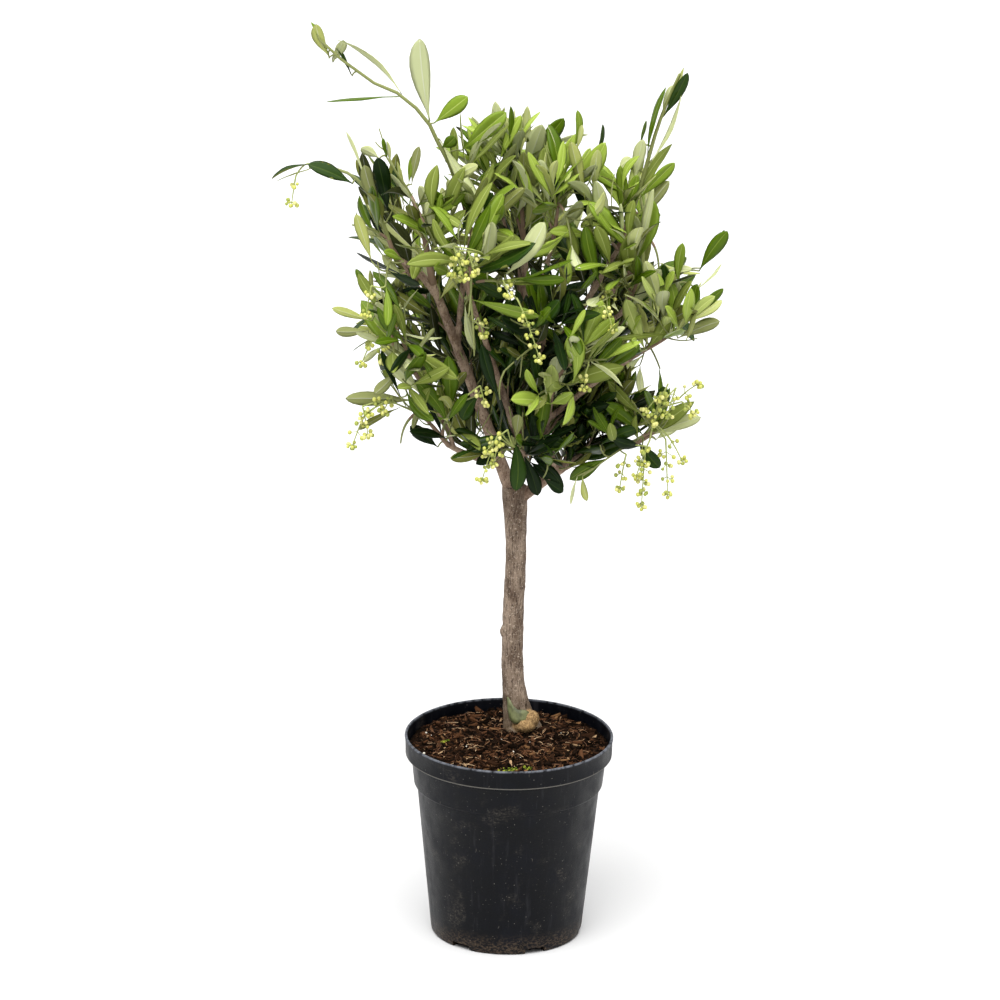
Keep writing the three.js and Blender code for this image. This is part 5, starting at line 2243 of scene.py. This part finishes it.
                # Painted shade: most leaves in the crown's shaded middle take the near-black DEEP tone.
                elif share < 0.8 and self.is_shaded(foot):
                    tone = Tone.DEEP
                crop = self.inner if mass is HEART else self.young if young > 0.0 else self.mature
                crop.grow(foot, way, up, (size, size * slender), (bend, draw.between(0.1, 0.9)), tone)
                reach = max(reach, t)
            back += mass.mood.value.pair_gap * (0.75 + 0.5 * (1 - young)) * draw.between(0.85, 1.15)
            pair += 1
        return reach

    def is_shaded(self, point: Array) -> bool:
        """Whether a point is in the crown's shaded middle, where leaves get painted shade."""
        away = (point - np.array(self.rule.shade_middle)) / np.array(self.rule.shade_reach)
        return float(np.linalg.norm(away)) < 1

    def has_room(self, mass: Mass, point: Array) -> bool:
        """Whether a point is inside the crown's outline and nearer the mass's own shoots than another's.

        Args:
            mass: the mass.
            point: the point.

        Returns:
            True where something of the mass may end there.
        """
        if not OUTLINE.holds(point) or np.any(point < self.low) or np.any(point > self.high):
            return False
        if mass is HEART:
            return True
        near = {
            name: np.linalg.norm(points - point, axis=1).min()
            for name, points in self.own_points.items()
        }
        own = near.pop(mass.name)
        return own < min(near.values()) + self.rule.slack

    def is_open(self, mass: Mass, foot: Array, tip: Array) -> bool:
        """Whether a leaf keeps clear of the limbs and panicles and stays in the mass's room.

        Args:
            mass: the mass.
            foot: where the leaf starts.
            tip: where it ends.

        Returns:
            True where there is room for it.
        """
        if not self.has_room(mass, tip) or not OUTLINE.holds(mix(foot, tip, 0.6)):
            return False
        rule = self.rule
        if tip[1] < rule.front_limit and tip[2] < foot[2] - rule.front_drop:
            return False
        front = np.array(rule.front)
        for share in (0.2, 0.4, 0.6, 0.8, 1.0):
            point = mix(foot, tip, share)
            gap = point - self.limb_starts
            along = np.einsum("ij,ij->i", gap, self.limb_runs)
            along = np.clip(along / np.einsum("ij,ij->i", self.limb_runs, self.limb_runs), 0, 1)
            away = np.linalg.norm(gap - self.limb_runs * along[:, None], axis=1)
            if np.any(away < self.limb_radii + rule.limb_room):
                return False
            for bare, room in ((self.hanging, rule.panicle_room), (self.shown, rule.shown_room)):
                gap = point - bare
                ahead = np.maximum(gap @ front, 0)
                if np.linalg.norm(gap - front * ahead[:, None], axis=1).min() < room:
                    return False
        return True

    def build(self) -> list[bpy.types.Object]:
        """The leaves and twigs as joined pieces.

        Returns:
            The pieces.
        """
        self.grow()
        made = self.mature.pieces("leaves_mature", 5, self.most)
        made += self.young.pieces("leaves_young", 6, self.most)
        made += self.inner.pieces("leaves_inner", 7, self.most)
        made.append(self.twig_piece())
        for piece in made:
            tag(piece, "foliage", *FOLIAGE)
        return made

    def twig_piece(self) -> bpy.types.Object:
        """All shoots and twigs as one piece.

        Returns:
            The piece.
        """
        shells = Shells()
        for twig in self.twigs:
            sides = 10 if twig.order == 0 else 6
            add_tube(shells, twig.stations, twig.radius, sides, twig.colour)
        brown = Plain("twig_brown", srgb(120, 98, 78), 0.75).made()
        green = Plain("twig_green", srgb(116, 122, 66), 0.6).made()
        return shells.piece("twigs", [brown, green])


@dataclass
class Panicles:
    """The hanging panicles: thin stalks with crossing pairs of branchlets that end in round buds."""

    crown: Crown
    sag: float = 0.12
    stalk_radius: float = 0.9
    first_pair: float = 0.26
    pair_gap: float = 8.5
    branchlet: tuple[float, float] = (4.2, 8.0)
    bud: tuple[float, float] = (1.6, 2.35)
    spread: float = 3.4
    sister: float = 0.7
    sister_back: float = 0.14
    stalks: Shells = field(default_factory=Shells)
    buds: Shells = field(default_factory=Shells)

    def build(self) -> list[bpy.types.Object]:
        """The stalks and the buds.

        Returns:
            The pieces.
        """
        for mass in MASSES:
            draw = Draws(mass.seed + 4)
            for hanging in mass.panicles:
                shoot = self.crown.shoots[mass.name][hanging.shoot]
                drop = np.array(hanging.drop, float)
                self.hang(station_at(shoot, hanging.at).point, drop, 1.0, draw)
                small = turned(drop, UP, draw.between(60, 300)) * self.sister
                self.hang(station_at(shoot, hanging.at - self.sister_back).point, small, 1.0, draw)
        draw = Draws(HEART.seed + 4)
        for cluster in CLUSTERS:
            self.cluster(cluster, draw)
        green = Plain("panicle_stalk", srgb(150, 160, 86), 0.6).made()
        tones = [
            Plain("bud_green", srgb(146, 156, 66), 0.5).made(),
            Plain("bud_yellow", srgb(184, 186, 88), 0.48).made(),
            Plain("bud_pale", srgb(208, 206, 126), 0.46).made(),
        ]
        made = [self.stalks.piece("panicle_stalks", [green]), self.buds.piece("panicle_buds", tones)]
        for piece in made:
            tag(piece, "foliage", *FOLIAGE)
        return made

    def cluster(self, cluster: Cluster, draw: Draws) -> None:
        """One panicle that shows well, on a stalk from the nearest shoot.

        Args:
            cluster: the panicle.
            draw: the draws for such panicles.
        """
        foot, end = np.array(cluster.foot, float), np.array(cluster.end, float)
        every = [shoot for shoots in self.crown.shoots.values() for shoot in shoots]
        near = nearest(every, foot, 30)
        away = float(np.linalg.norm(near.point - foot))
        control = near.point + near.direction * away * 0.4
        stations = stations_along(Bend(tuple(near.point), tuple(control), cluster.foot), 5)
        add_tube(self.stalks, stations, lambda t: self.stalk_radius * 0.9, 6)
        self.hang(foot, end - foot, cluster.full, draw)

    def hang(self, start: Array, drop: Array, full: float, draw: Draws) -> None:
        """The stalk, branchlets and buds of a panicle.

        Args:
            start: its foot.
            drop: from there to its end.
            full: how thick with buds it is, 1 for most.
            draw: the draws that settle it.
        """
        length = float(np.linalg.norm(drop))
        control = start + drop / 2 + UP * length * self.sag
        line = Bend(tuple(start), tuple(control), tuple(start + drop))
        stations = stations_along(line, 10, draw.between(0, 90))
        add_tube(self.stalks, stations, lambda t: self.stalk_radius * (1 - 0.45 * t), 6)
        pairs = max(2, round(length * (1 - self.first_pair) / self.pair_gap * full * 0.8))
        for pair in range(pairs):
            t = mix(self.first_pair, 0.93, pair / (pairs - 1))
            station = station_at(stations, t)
            reach = mix(*reversed(self.branchlet), t) * draw.between(0.8, 1.15)
            for side in (0, 180):
                way = turned(station.out, station.direction, side + 90 * (pair % 2) + draw.between(-20, 20))
                way = unit(way + station.direction * 0.55)
                end = station.point + way * reach
                halfway = station.point + way * reach / 2
                run = stations_along(Bend(tuple(station.point), tuple(halfway), tuple(end)), 3)
                add_tube(self.stalks, run, lambda t: 0.45 - 0.1 * t, 5)
                self.bunch(end, way, draw, draw.pick((1, 2, 3, 3)))
        self.bunch(stations[-1].point, stations[-1].direction, draw, 3)

    def bunch(self, end: Array, way: Array, draw: Draws, count: int) -> None:
        """One to three buds at the end of a branchlet.

        Args:
            end: the branchlet's end.
            way: its direction.
            draw: the draws that settle it.
            count: how many buds.
        """
        points, faces = ball(2)
        turn = draw.between(0, 360)
        for i in range(count):
            size = draw.between(*self.bud)
            aside = across(way, turn + 180 * i) * (0 if i == 0 else self.spread)
            middle = end + way * (size * 0.8 if i == 0 else -self.spread * 0.5) + aside
            self.buds.add(middle + points * size * np.array([1, 1, 1.08]), faces, draw.pick((0, 1, 1, 2)))
            if i:
                run = stations_along(Bend(tuple(end - way * 2), tuple(end - way), tuple(middle)), 2)
                add_tube(self.stalks, run, lambda t: 0.35, 5)


# ------------------------------------------------------------------ pot and soil


def level_ring(radius: float, height: float, segments: int) -> Array:
    """A level ring of points round the upright axis."""
    angles = np.arange(segments) * 2 * math.pi / segments
    return np.stack([radius * np.cos(angles), radius * np.sin(angles), np.full(segments, height)], axis=1)


def lathe(shells: Shells, profile: Sequence[tuple[float, float]], segments: int) -> None:
    """A closed body turned about the upright axis.

    Args:
        shells: what it is added to.
        profile: radii and heights from the axis round to the axis again, both ends at radius 0.
        segments: how many sides it has.
    """
    rings = [level_ring(radius, height, segments) for radius, height in profile[1:-1]]
    shells.add_rings(rings, np.array([(0, 0, profile[0][1]), (0, 0, profile[-1][1])]))


@dataclass
class Pot:
    """The nursery pot: a rolled lip, two bands, a tapering wall and drain notches round its foot."""

    height: float = 209
    rim_radius: float = 105
    rim_height: float = 20
    band_radius: float = 98
    band_foot: float = 158
    wall_radius: float = 92
    foot_radius: float = 76
    wall: float = 2.0
    floor: float = 4
    notches: int = 6
    notch_width: float = 21
    notch_height: float = 6
    notch_depth: float = 14
    notch_angle: float = -67
    segments: int = 144

    def build(self) -> list[bpy.types.Object]:
        """The pot.

        Returns:
            Its one piece.
        """
        shells = Shells()
        lathe(shells, self.profile(), self.segments)
        piece = shells.piece("pot_shell", [self.plastic()])
        self.cut_notches(piece)
        tag(piece, "pot", "pot")
        return [piece]

    def profile(self) -> list[tuple[float, float]]:
        """The pot's section from the axis out, up over the lip and down inside.

        Returns:
            Radii and heights.
        """
        lip = self.height - self.rim_height
        outer = [
            (0, 0.0),
            (self.foot_radius - 16, 0.0),
            (self.foot_radius - 4, 0.0),
            (self.foot_radius - 1.4, 0.6),
            (self.foot_radius - 0.2, 2.2),
            (self.foot_radius + 0.3, 5.0),
            (self.wall_radius - 0.2, self.band_foot - 2.2),
            (self.wall_radius + 0.6, self.band_foot - 1.0),
            (self.wall_radius + 2.4, self.band_foot),
            (self.wall_radius + 3.0, self.band_foot + 1.2),
            (self.band_radius, lip - 2.2),
            (self.band_radius + 1.0, lip - 1.0),
            (self.rim_radius - 2.0, lip - 0.2),
            (self.rim_radius - 1.1, lip + 0.5),
            (self.rim_radius - 1.0, lip + 1.6),
            (self.rim_radius - 0.7, self.height - 3.6),
            (self.rim_radius - 0.1, self.height - 2.6),
            (self.rim_radius, self.height - 1.4),
            (self.rim_radius - 0.5, self.height - 0.4),
            (self.rim_radius - 1.4, self.height),
        ]
        inner = [
            (self.rim_radius - 2.4, self.height - 0.4),
            (self.rim_radius - 2.9, self.height - 1.8),
            (self.rim_radius - 1 - self.wall, lip + self.wall + 1),
            (self.band_radius - self.wall, lip + self.wall - 2),
            (self.wall_radius + 3 - self.wall, self.band_foot + self.wall),
            (self.wall_radius - self.wall, self.band_foot - 2),
            (self.foot_radius - self.wall, self.floor + 3),
            (self.foot_radius - self.wall - 3, self.floor),
            (0, self.floor),
        ]
        return outer + inner

    def cut_notches(self, piece: bpy.types.Object) -> None:
        """Cuts the drain notches out of the foot's edge.

        Args:
            piece: the uncut pot.
        """
        cutter = Shells()
        square = ((-1, -1), (1, -1), (1, 1), (-1, 1))
        box = np.array([(x, y, z) for z in (-1, 1) for x, y in square], float)
        sides = [(i, (i + 1) % 4, (i + 1) % 4 + 4, i + 4) for i in range(4)]
        faces = np.array([(3, 2, 1, 0), (4, 5, 6, 7), *sides])
        half = np.array([self.notch_depth / 2, self.notch_width / 2, self.notch_height])
        for i in range(self.notches):
            angle = self.notch_angle + 360 / self.notches * i
            corners = box * half + np.array([self.foot_radius - self.notch_depth / 2 + 2, 0, 0])
            corners = np.array([turned(corner, UP, angle) for corner in corners])
            cutter.add(corners, faces)
        tool = cutter.piece("notch_cutter", [], smooth=False)
        cut = piece.modifiers.new("notches", "BOOLEAN")
        cut.operation = "DIFFERENCE"
        cut.solver = "EXACT"
        cut.object = tool
        apply_modifiers(piece)
        bpy.data.objects.remove(tool)
        piece.data.set_sharp_from_angle(angle=math.radians(40))

    def plastic(self) -> bpy.types.Material:
        """Near-black plastic with dust, streaks, scuffs and dirt near the foot, a lip top lightened by wear
        and painted highlight, and a painted highlight line at the rim band's lower edge.

        Returns:
            The material.
        """
        paint = Paint("pot_plastic", roughness=0.5)
        height = paint.height()
        dust = paint.clouds(24, (1, 1, 1.4), detail=6, rough=0.65)
        streaks = paint.clouds(6, (1, 1, 12), detail=4)
        scuffs = paint.clouds(3.0, (1, 1, 0.6), detail=5, rough=0.75)
        smudges = paint.clouds(38, detail=2)
        specks = paint.specks(4.0)
        scratches = paint.specks(6, (0.7, 0.7, 4))
        base = paint.over(srgb(3, 4, 8), srgb(10, 12, 19), paint.band(dust, 0.4, 0.75))
        base = paint.over(base, srgb(38, 38, 42), paint.band(streaks, 0.56, 0.76, 0.55))
        dusty = paint.both(paint.band(smudges, 0.56, 0.72), paint.band(scuffs, 0.42, 0.7, 0.55))
        base = paint.over(base, srgb(78, 73, 66), dusty)
        base = paint.over(base, srgb(74, 69, 62), paint.band(scuffs, 0.62, 0.76, 0.5))
        dotted = paint.both(paint.band(specks, 0.16, 0.07, 0.5), paint.band(scuffs, 0.47, 0.6))
        base = paint.over(base, srgb(140, 136, 128), dotted)
        scraped = paint.both(paint.band(scratches, 0.13, 0.05, 0.6), paint.band(dust, 0.5, 0.66))
        base = paint.over(base, srgb(98, 92, 82), scraped)
        low = paint.band(height, 26, 3)
        base = paint.over(base, srgb(84, 70, 56), paint.both(low, paint.band(scuffs, 0.44, 0.62, 0.8)))
        # Painted highlight with wear: a pale bluish band along the top of the rolled lip.
        lip = paint.band(height, self.height - 2.4, self.height - 0.8)
        base = paint.over(base, srgb(104, 107, 114), paint.both(lip, paint.band(streaks, 0.3, 0.6, 0.7)))
        # Painted highlight: a thin pale line along the rim band's lower edge.
        highlight_edge = self.height - self.rim_height
        line = paint.both(
            paint.band(height, highlight_edge - 0.8, highlight_edge + 0.2),
            paint.band(height, highlight_edge + 1.6, highlight_edge + 0.8),
        )
        base = paint.over(base, srgb(120, 117, 110), paint.both(line, 0.6))
        paint.set("Base Color", base)
        paint.set("Specular IOR Level", 0.13)
        paint.set("Roughness", paint.sum("ADD", 0.36, paint.band(dust, 0.3, 0.75, 0.22)))
        paint.relief(scuffs, 0.12)
        return paint.material


@dataclass
class Soil:
    """The potting mix: a lumpy top strewn with bark chips, pale lumps, fibres and a little moss."""

    skeleton: Skeleton
    wall_level: float = 197
    level: float = 203.2
    plateau: float = 65
    edge: float = 100.4
    slope_power: float = 1.3
    wall_foot: float = 190
    down: tuple[tuple[float, float], ...] = ((94, 186), (88, 155), (72.5, 8), (68, 4.6))
    rings: int = 84
    segments: int = 300
    chips: int = 3600
    pale_lumps: int = 13
    fibres: int = 240
    moss: tuple[Point, ...] = ((0, -82, 9), (18, -76, 5), (-16, -88, 4), (-65, -8, 4))
    moss_tufts: int = 34
    trunk_room: float = 15

    def surface(self, x: Array, y: Array) -> Array:
        """The height of the mix at places across the pot.

        Args:
            x: how far right each place is.
            y: how far back each place is.

        Returns:
            One height a place.
        """
        radius = np.hypot(x, y)
        share = np.clip((radius - self.plateau) / (self.edge - self.plateau), 0, 1)
        flat = np.stack([x, y, np.zeros_like(x)], axis=-1).reshape(-1, 3)
        lumps = grain(flat, (15, 15, 15), 3, 4.4) * 1.5 + grain(flat, (4, 4, 4), 2, 8.8) * 0.9
        level = self.level + (self.wall_level - self.level) * share**self.slope_power
        return level + lumps.reshape(radius.shape) - 0.6

    def build(self) -> list[bpy.types.Object]:
        """The mix and what lies on it.

        Returns:
            The pieces.
        """
        made = [self.ground(), self.strewn_chips(), self.strewn_lumps(), self.strewn_fibres()]
        made.append(self.mossy_bits())
        for piece in made:
            tag(piece, "soil", "soil")
        return made

    def ground(self) -> bpy.types.Object:
        """The body of the mix, closed down to just above the pot's floor.

        Returns:
            The body.
        """
        angles = np.arange(self.segments) * 2 * math.pi / self.segments
        radii = self.edge * np.linspace(0.01, 1, self.rings) ** 0.9
        x = radii[:, None] * np.cos(angles)
        y = radii[:, None] * np.sin(angles)
        top = np.stack([x, y, self.surface(x, y)], axis=-1)
        down = ((self.edge - 1, self.wall_foot), *self.down)
        skirt = [level_ring(radius, height, self.segments) for radius, height in down]
        ends = np.array([top[0].mean(axis=0), (0, 0, down[-1][1])])
        shells = Shells()
        shells.add_rings([*top, *skirt], ends, flip=True)
        return shells.piece("soil_mix", [self.mix_finish()])

    def mix_finish(self) -> bpy.types.Material:
        """Dark brown peat with lighter crumbs.

        Returns:
            The material.
        """
        paint = Paint("soil_mix", roughness=0.95)
        crumbs = paint.clouds(3.0, detail=5, rough=0.7)
        patches = paint.clouds(14)
        base = paint.over(srgb(13, 8, 5), srgb(44, 29, 19), paint.band(crumbs, 0.44, 0.72))
        base = paint.over(base, srgb(6, 4, 2), paint.band(patches, 0.5, 0.3, 0.7))
        paint.set("Base Color", base)
        paint.set("Specular IOR Level", 0.02)
        paint.relief(crumbs, 1.0)
        return paint.material

    def places(self, count: int, seed: int, reach: float) -> tuple[Array, np.random.Generator]:
        """Seeded places on the mix, off the trunk.

        Args:
            count: how many.
            seed: the seed.
            reach: how far out they go.

        Returns:
            The points, and the generator for what follows.
        """
        chance = np.random.default_rng(seed)
        radius = reach * np.sqrt(chance.uniform(0, 1, count))
        angle = chance.uniform(0, 2 * math.pi, count)
        x, y = radius * np.cos(angle), radius * np.sin(angle)
        foot = self.skeleton.foot
        keep = np.hypot(x - foot[0], y - foot[1]) > self.trunk_room
        x, y = x[keep], y[keep]
        return np.stack([x, y, self.surface(x, y)], axis=1), chance

    def strewn_chips(self) -> bpy.types.Object:
        """Flat splinters of bark in browns, each a bent six-sided plate.

        Returns:
            The chips.
        """
        places, chance = self.places(self.chips, 71, self.edge - 4)
        shells = Shells()
        corners = np.array([(1, 0.1), (0.45, 0.9), (-0.5, 0.8), (-1, -0.1), (-0.5, -0.85), (0.5, -0.9)])
        for place in places:
            size = chance.choice([1.2, 2.2, 3.6, 5.4], p=[0.4, 0.36, 0.19, 0.05]) * chance.uniform(0.7, 1.25)
            narrow = chance.uniform(0.1, 0.42)
            thick = size * chance.uniform(0.15, 0.5)
            plate = corners * (1 + chance.uniform(-0.25, 0.25, (6, 1))) * size * np.array([1, narrow])
            ring = np.column_stack([plate, np.zeros(6)])
            ring[:, 2] += (ring[:, 0] / size) ** 2 * thick * 0.6
            points = np.concatenate([ring + UP * thick / 2, ring - UP * thick / 2])
            axis = unit(np.array([chance.normal(), chance.normal(), 0.0]))
            tilt = chance.normal(0, 34)
            turn = chance.uniform(0, 360)
            points = np.array([turned(turned(p, UP, turn), axis, tilt) for p in points])
            lift = chance.uniform(0.0, 0.5) * size * 0.35
            points += place + UP * lift
            sides = [(i, (i + 1) % 6, (i + 1) % 6 + 6, i + 6) for i in range(6)]
            tone = int(chance.choice(5, p=[0.34, 0.36, 0.23, 0.055, 0.015]))
            shells.add(points, np.array(sides)[:, ::-1], tone)
            shells.again(np.array([(0, 1, 2, 3), (0, 3, 4, 5)]), tone)
            shells.again(np.array([(9, 8, 7, 6), (11, 10, 9, 6)]), tone)
        finishes = [
            Plain("chip_black", srgb(14, 8, 4), 0.95, soft=0.47).made(),
            Plain("chip_dark", srgb(40, 25, 15), 0.95, soft=0.47).made(),
            Plain("chip_brown", srgb(76, 50, 32), 0.95, soft=0.46).made(),
            Plain("chip_tan", srgb(108, 78, 50), 0.9, soft=0.42).made(),
            Plain("chip_pale", srgb(156, 128, 96), 0.9, soft=0.42).made(),
        ]
        return shells.piece("soil_chips", finishes, smooth=False)

    def strewn_lumps(self) -> bpy.types.Object:
        """Pale grains of perlite.

        Returns:
            The grains.
        """
        places, chance = self.places(self.pale_lumps, 72, self.edge - 5)
        shells = Shells()
        points, faces = ball(2)
        for place in places:
            size = chance.uniform(0.6, 1.5)
            rough = 1 + grain(points * 2, (1, 1, 1), 2, float(place[0])) * 0.3
            lump = points * rough[:, None] * size * np.array([1, chance.uniform(0.7, 1), 0.8])
            shells.add(lump + place + UP * size * 0.3, faces)
        return shells.piece("soil_perlite", [Plain("perlite", srgb(208, 202, 188), 0.85).made()])

    def strewn_fibres(self) -> bpy.types.Object:
        """Thin light fibres lying on the mix.

        Returns:
            The fibres.
        """
        places, chance = self.places(self.fibres, 73, self.edge - 12)
        shells = Shells()
        for place in places:
            turn = chance.uniform(0, 2 * math.pi)
            way = np.array([math.cos(turn), math.sin(turn), 0.0])
            side = np.array([-way[1], way[0], 0.0])
            reach = chance.uniform(5, 17)
            start = place - way * reach / 2 + UP * 1.0
            middle = place + side * chance.normal(0, 5) + UP * chance.uniform(1.5, 4)
            end = place + way * reach / 2 + UP * 1.0
            stations = stations_along(Bend(tuple(start), tuple(middle), tuple(end)), 7)
            thick = chance.uniform(0.16, 0.36)
            tone = int(chance.choice(3, p=[0.5, 0.35, 0.15]))
            add_tube(
                shells, stations, lambda t, thick=thick: thick * (1.2 - t), 5, lambda t, tone=tone: tone
            )
        finishes = [
            Plain("fibre_brown", srgb(92, 62, 42), 0.85, soft=0.25).made(),
            Plain("fibre_tan", srgb(142, 108, 78), 0.85, soft=0.25).made(),
            Plain("fibre_pale", srgb(188, 158, 122), 0.8, soft=0.25).made(),
        ]
        return shells.piece("soil_fibres", finishes)

    def mossy_bits(self) -> bpy.types.Object:
        """Small tufts of moss near the rim.

        Returns:
            The moss.
        """
        chance = np.random.default_rng(74)
        shells = Shells()
        points, faces = ball(1)
        for x, y, reach in self.moss:
            for _ in range(round(self.moss_tufts * reach / 5)):
                spot = np.array([x, y]) + chance.normal(0, reach / 2, 2) * np.array([1, 0.6])
                if float(np.hypot(*spot)) > self.edge - 2:
                    continue
                place = np.array([*spot, float(self.surface(spot[:1], spot[1:])[0])])
                size = chance.uniform(0.7, 1.7)
                tuft = points * size * np.array([1, 1, 0.8]) + place + UP * 0.9
                shells.add(tuft, faces, int(chance.integers(0, 3)))
        finishes = [
            Plain("moss_deep", srgb(44, 54, 12), 0.95, soft=0.42).made(),
            Plain("moss_green", srgb(76, 88, 20), 0.95, soft=0.42).made(),
            Plain("moss_bright", srgb(126, 132, 44), 0.95, soft=0.42).made(),
        ]
        return shells.piece("soil_moss", finishes)


# ------------------------------------------------------------------ studio


@dataclass(frozen=True)
class Lamp:
    """A wide soft light far away.

    azimuth is degrees round the plant from the front towards the right, elevation is degrees above
    the floor, and spread is how wide it looks from the plant, in degrees.
    """

    name: str
    azimuth: float
    elevation: float
    spread: float
    strength: float


@dataclass
class Studio:
    """The camera, the pale floor and the soft light."""

    lens: float = 357.84
    sensor: float = 36
    pitch: float = 19.65
    roll: float = 0.85
    camera_at: Point = (-12.55, -9338.45, 3793.52)
    floor_half: float = 30000
    floor_colour: Colour = (0.53, 0.53, 0.53)
    lamps: tuple[Lamp, ...] = (
        Lamp("key", -22, 58, 50, 3.35),
        Lamp("second", 48, 50, 80, 1.2),
        Lamp("above", 180, 80, 110, 3.8),
    )
    sky: float = 0.2

    def camera(self) -> None:
        """Makes the scene's camera, which looks along +Y and down."""
        data = bpy.data.cameras.new("camera")
        data.lens = self.lens
        data.sensor_width = self.sensor
        data.clip_start = 0.5
        data.clip_end = 200
        camera = bpy.data.objects.new("camera", data)
        bpy.context.scene.collection.objects.link(camera)
        tilt, roll = math.radians(self.pitch), math.radians(self.roll)
        ahead = Vector((0, math.cos(tilt), -math.sin(tilt)))
        right = Vector((1, 0, 0))
        up = right.cross(ahead)
        side = right * math.cos(roll) + up * math.sin(roll)
        top = up * math.cos(roll) - right * math.sin(roll)
        turn = Matrix((side, top, -ahead)).transposed().to_4x4()
        camera.matrix_world = Matrix.Translation(Vector(self.camera_at) * MM) @ turn
        bpy.context.scene.camera = camera

    def floor(self) -> None:
        """Lays the floor."""
        shells = Shells()
        half = self.floor_half
        corners = np.array([(-half, -half, 0), (half, -half, 0), (half, half, 0), (-half, half, 0)])
        shells.add(corners, np.array([(0, 1, 2, 3)]))
        finish = Plain("floor", self.floor_colour, 0.9, soft=0.5).made()
        shells.piece("floor", [finish], smooth=False)

    def hang(self, lamp: Lamp) -> None:
        """Hangs one lamp.

        Args:
            lamp: the lamp.
        """
        data = bpy.data.lights.new(lamp.name, "SUN")
        data.angle = math.radians(lamp.spread)
        data.energy = lamp.strength
        hung = bpy.data.objects.new(lamp.name, data)
        around, above = math.radians(lamp.azimuth), math.radians(lamp.elevation)
        level = math.cos(above)
        side = Vector((math.sin(around) * level, -math.cos(around) * level, math.sin(above)))
        hung.rotation_mode = "QUATERNION"
        hung.rotation_quaternion = side.to_track_quat("Z", "Y")
        bpy.context.scene.collection.objects.link(hung)

    def build(self) -> None:
        """Sets up the camera, the floor, the light and the world."""
        scene = bpy.context.scene
        self.camera()
        self.floor()
        for lamp in self.lamps:
            self.hang(lamp)
        world = bpy.data.worlds.new("world")
        world.use_nodes = True
        background = world.node_tree.nodes["Background"]
        background.inputs["Color"].default_value = (1, 1, 1, 1)
        background.inputs["Strength"].default_value = self.sky
        scene.world = world
        scene.view_settings.view_transform = "Standard"
        scene.view_settings.look = "None"


# ------------------------------------------------------------------ the whole plant


def main() -> None:
    """Builds the studio and every sub-assembly of the plant in order."""
    logging.basicConfig(level=logging.INFO, format="%(message)s", stream=sys.stdout)
    Studio().build()
    skeleton = Skeleton()
    crown = Crown(skeleton)
    for assembly in (Pot(), Soil(skeleton), Wood(skeleton), crown, Panicles(crown)):
        for piece in assembly.build():
            faces = sum(len(p.vertices) - 2 for p in piece.data.polygons)
            LOG.info("%s: %d triangles", piece.name, faces)


if __name__ == "__main__":
    main()
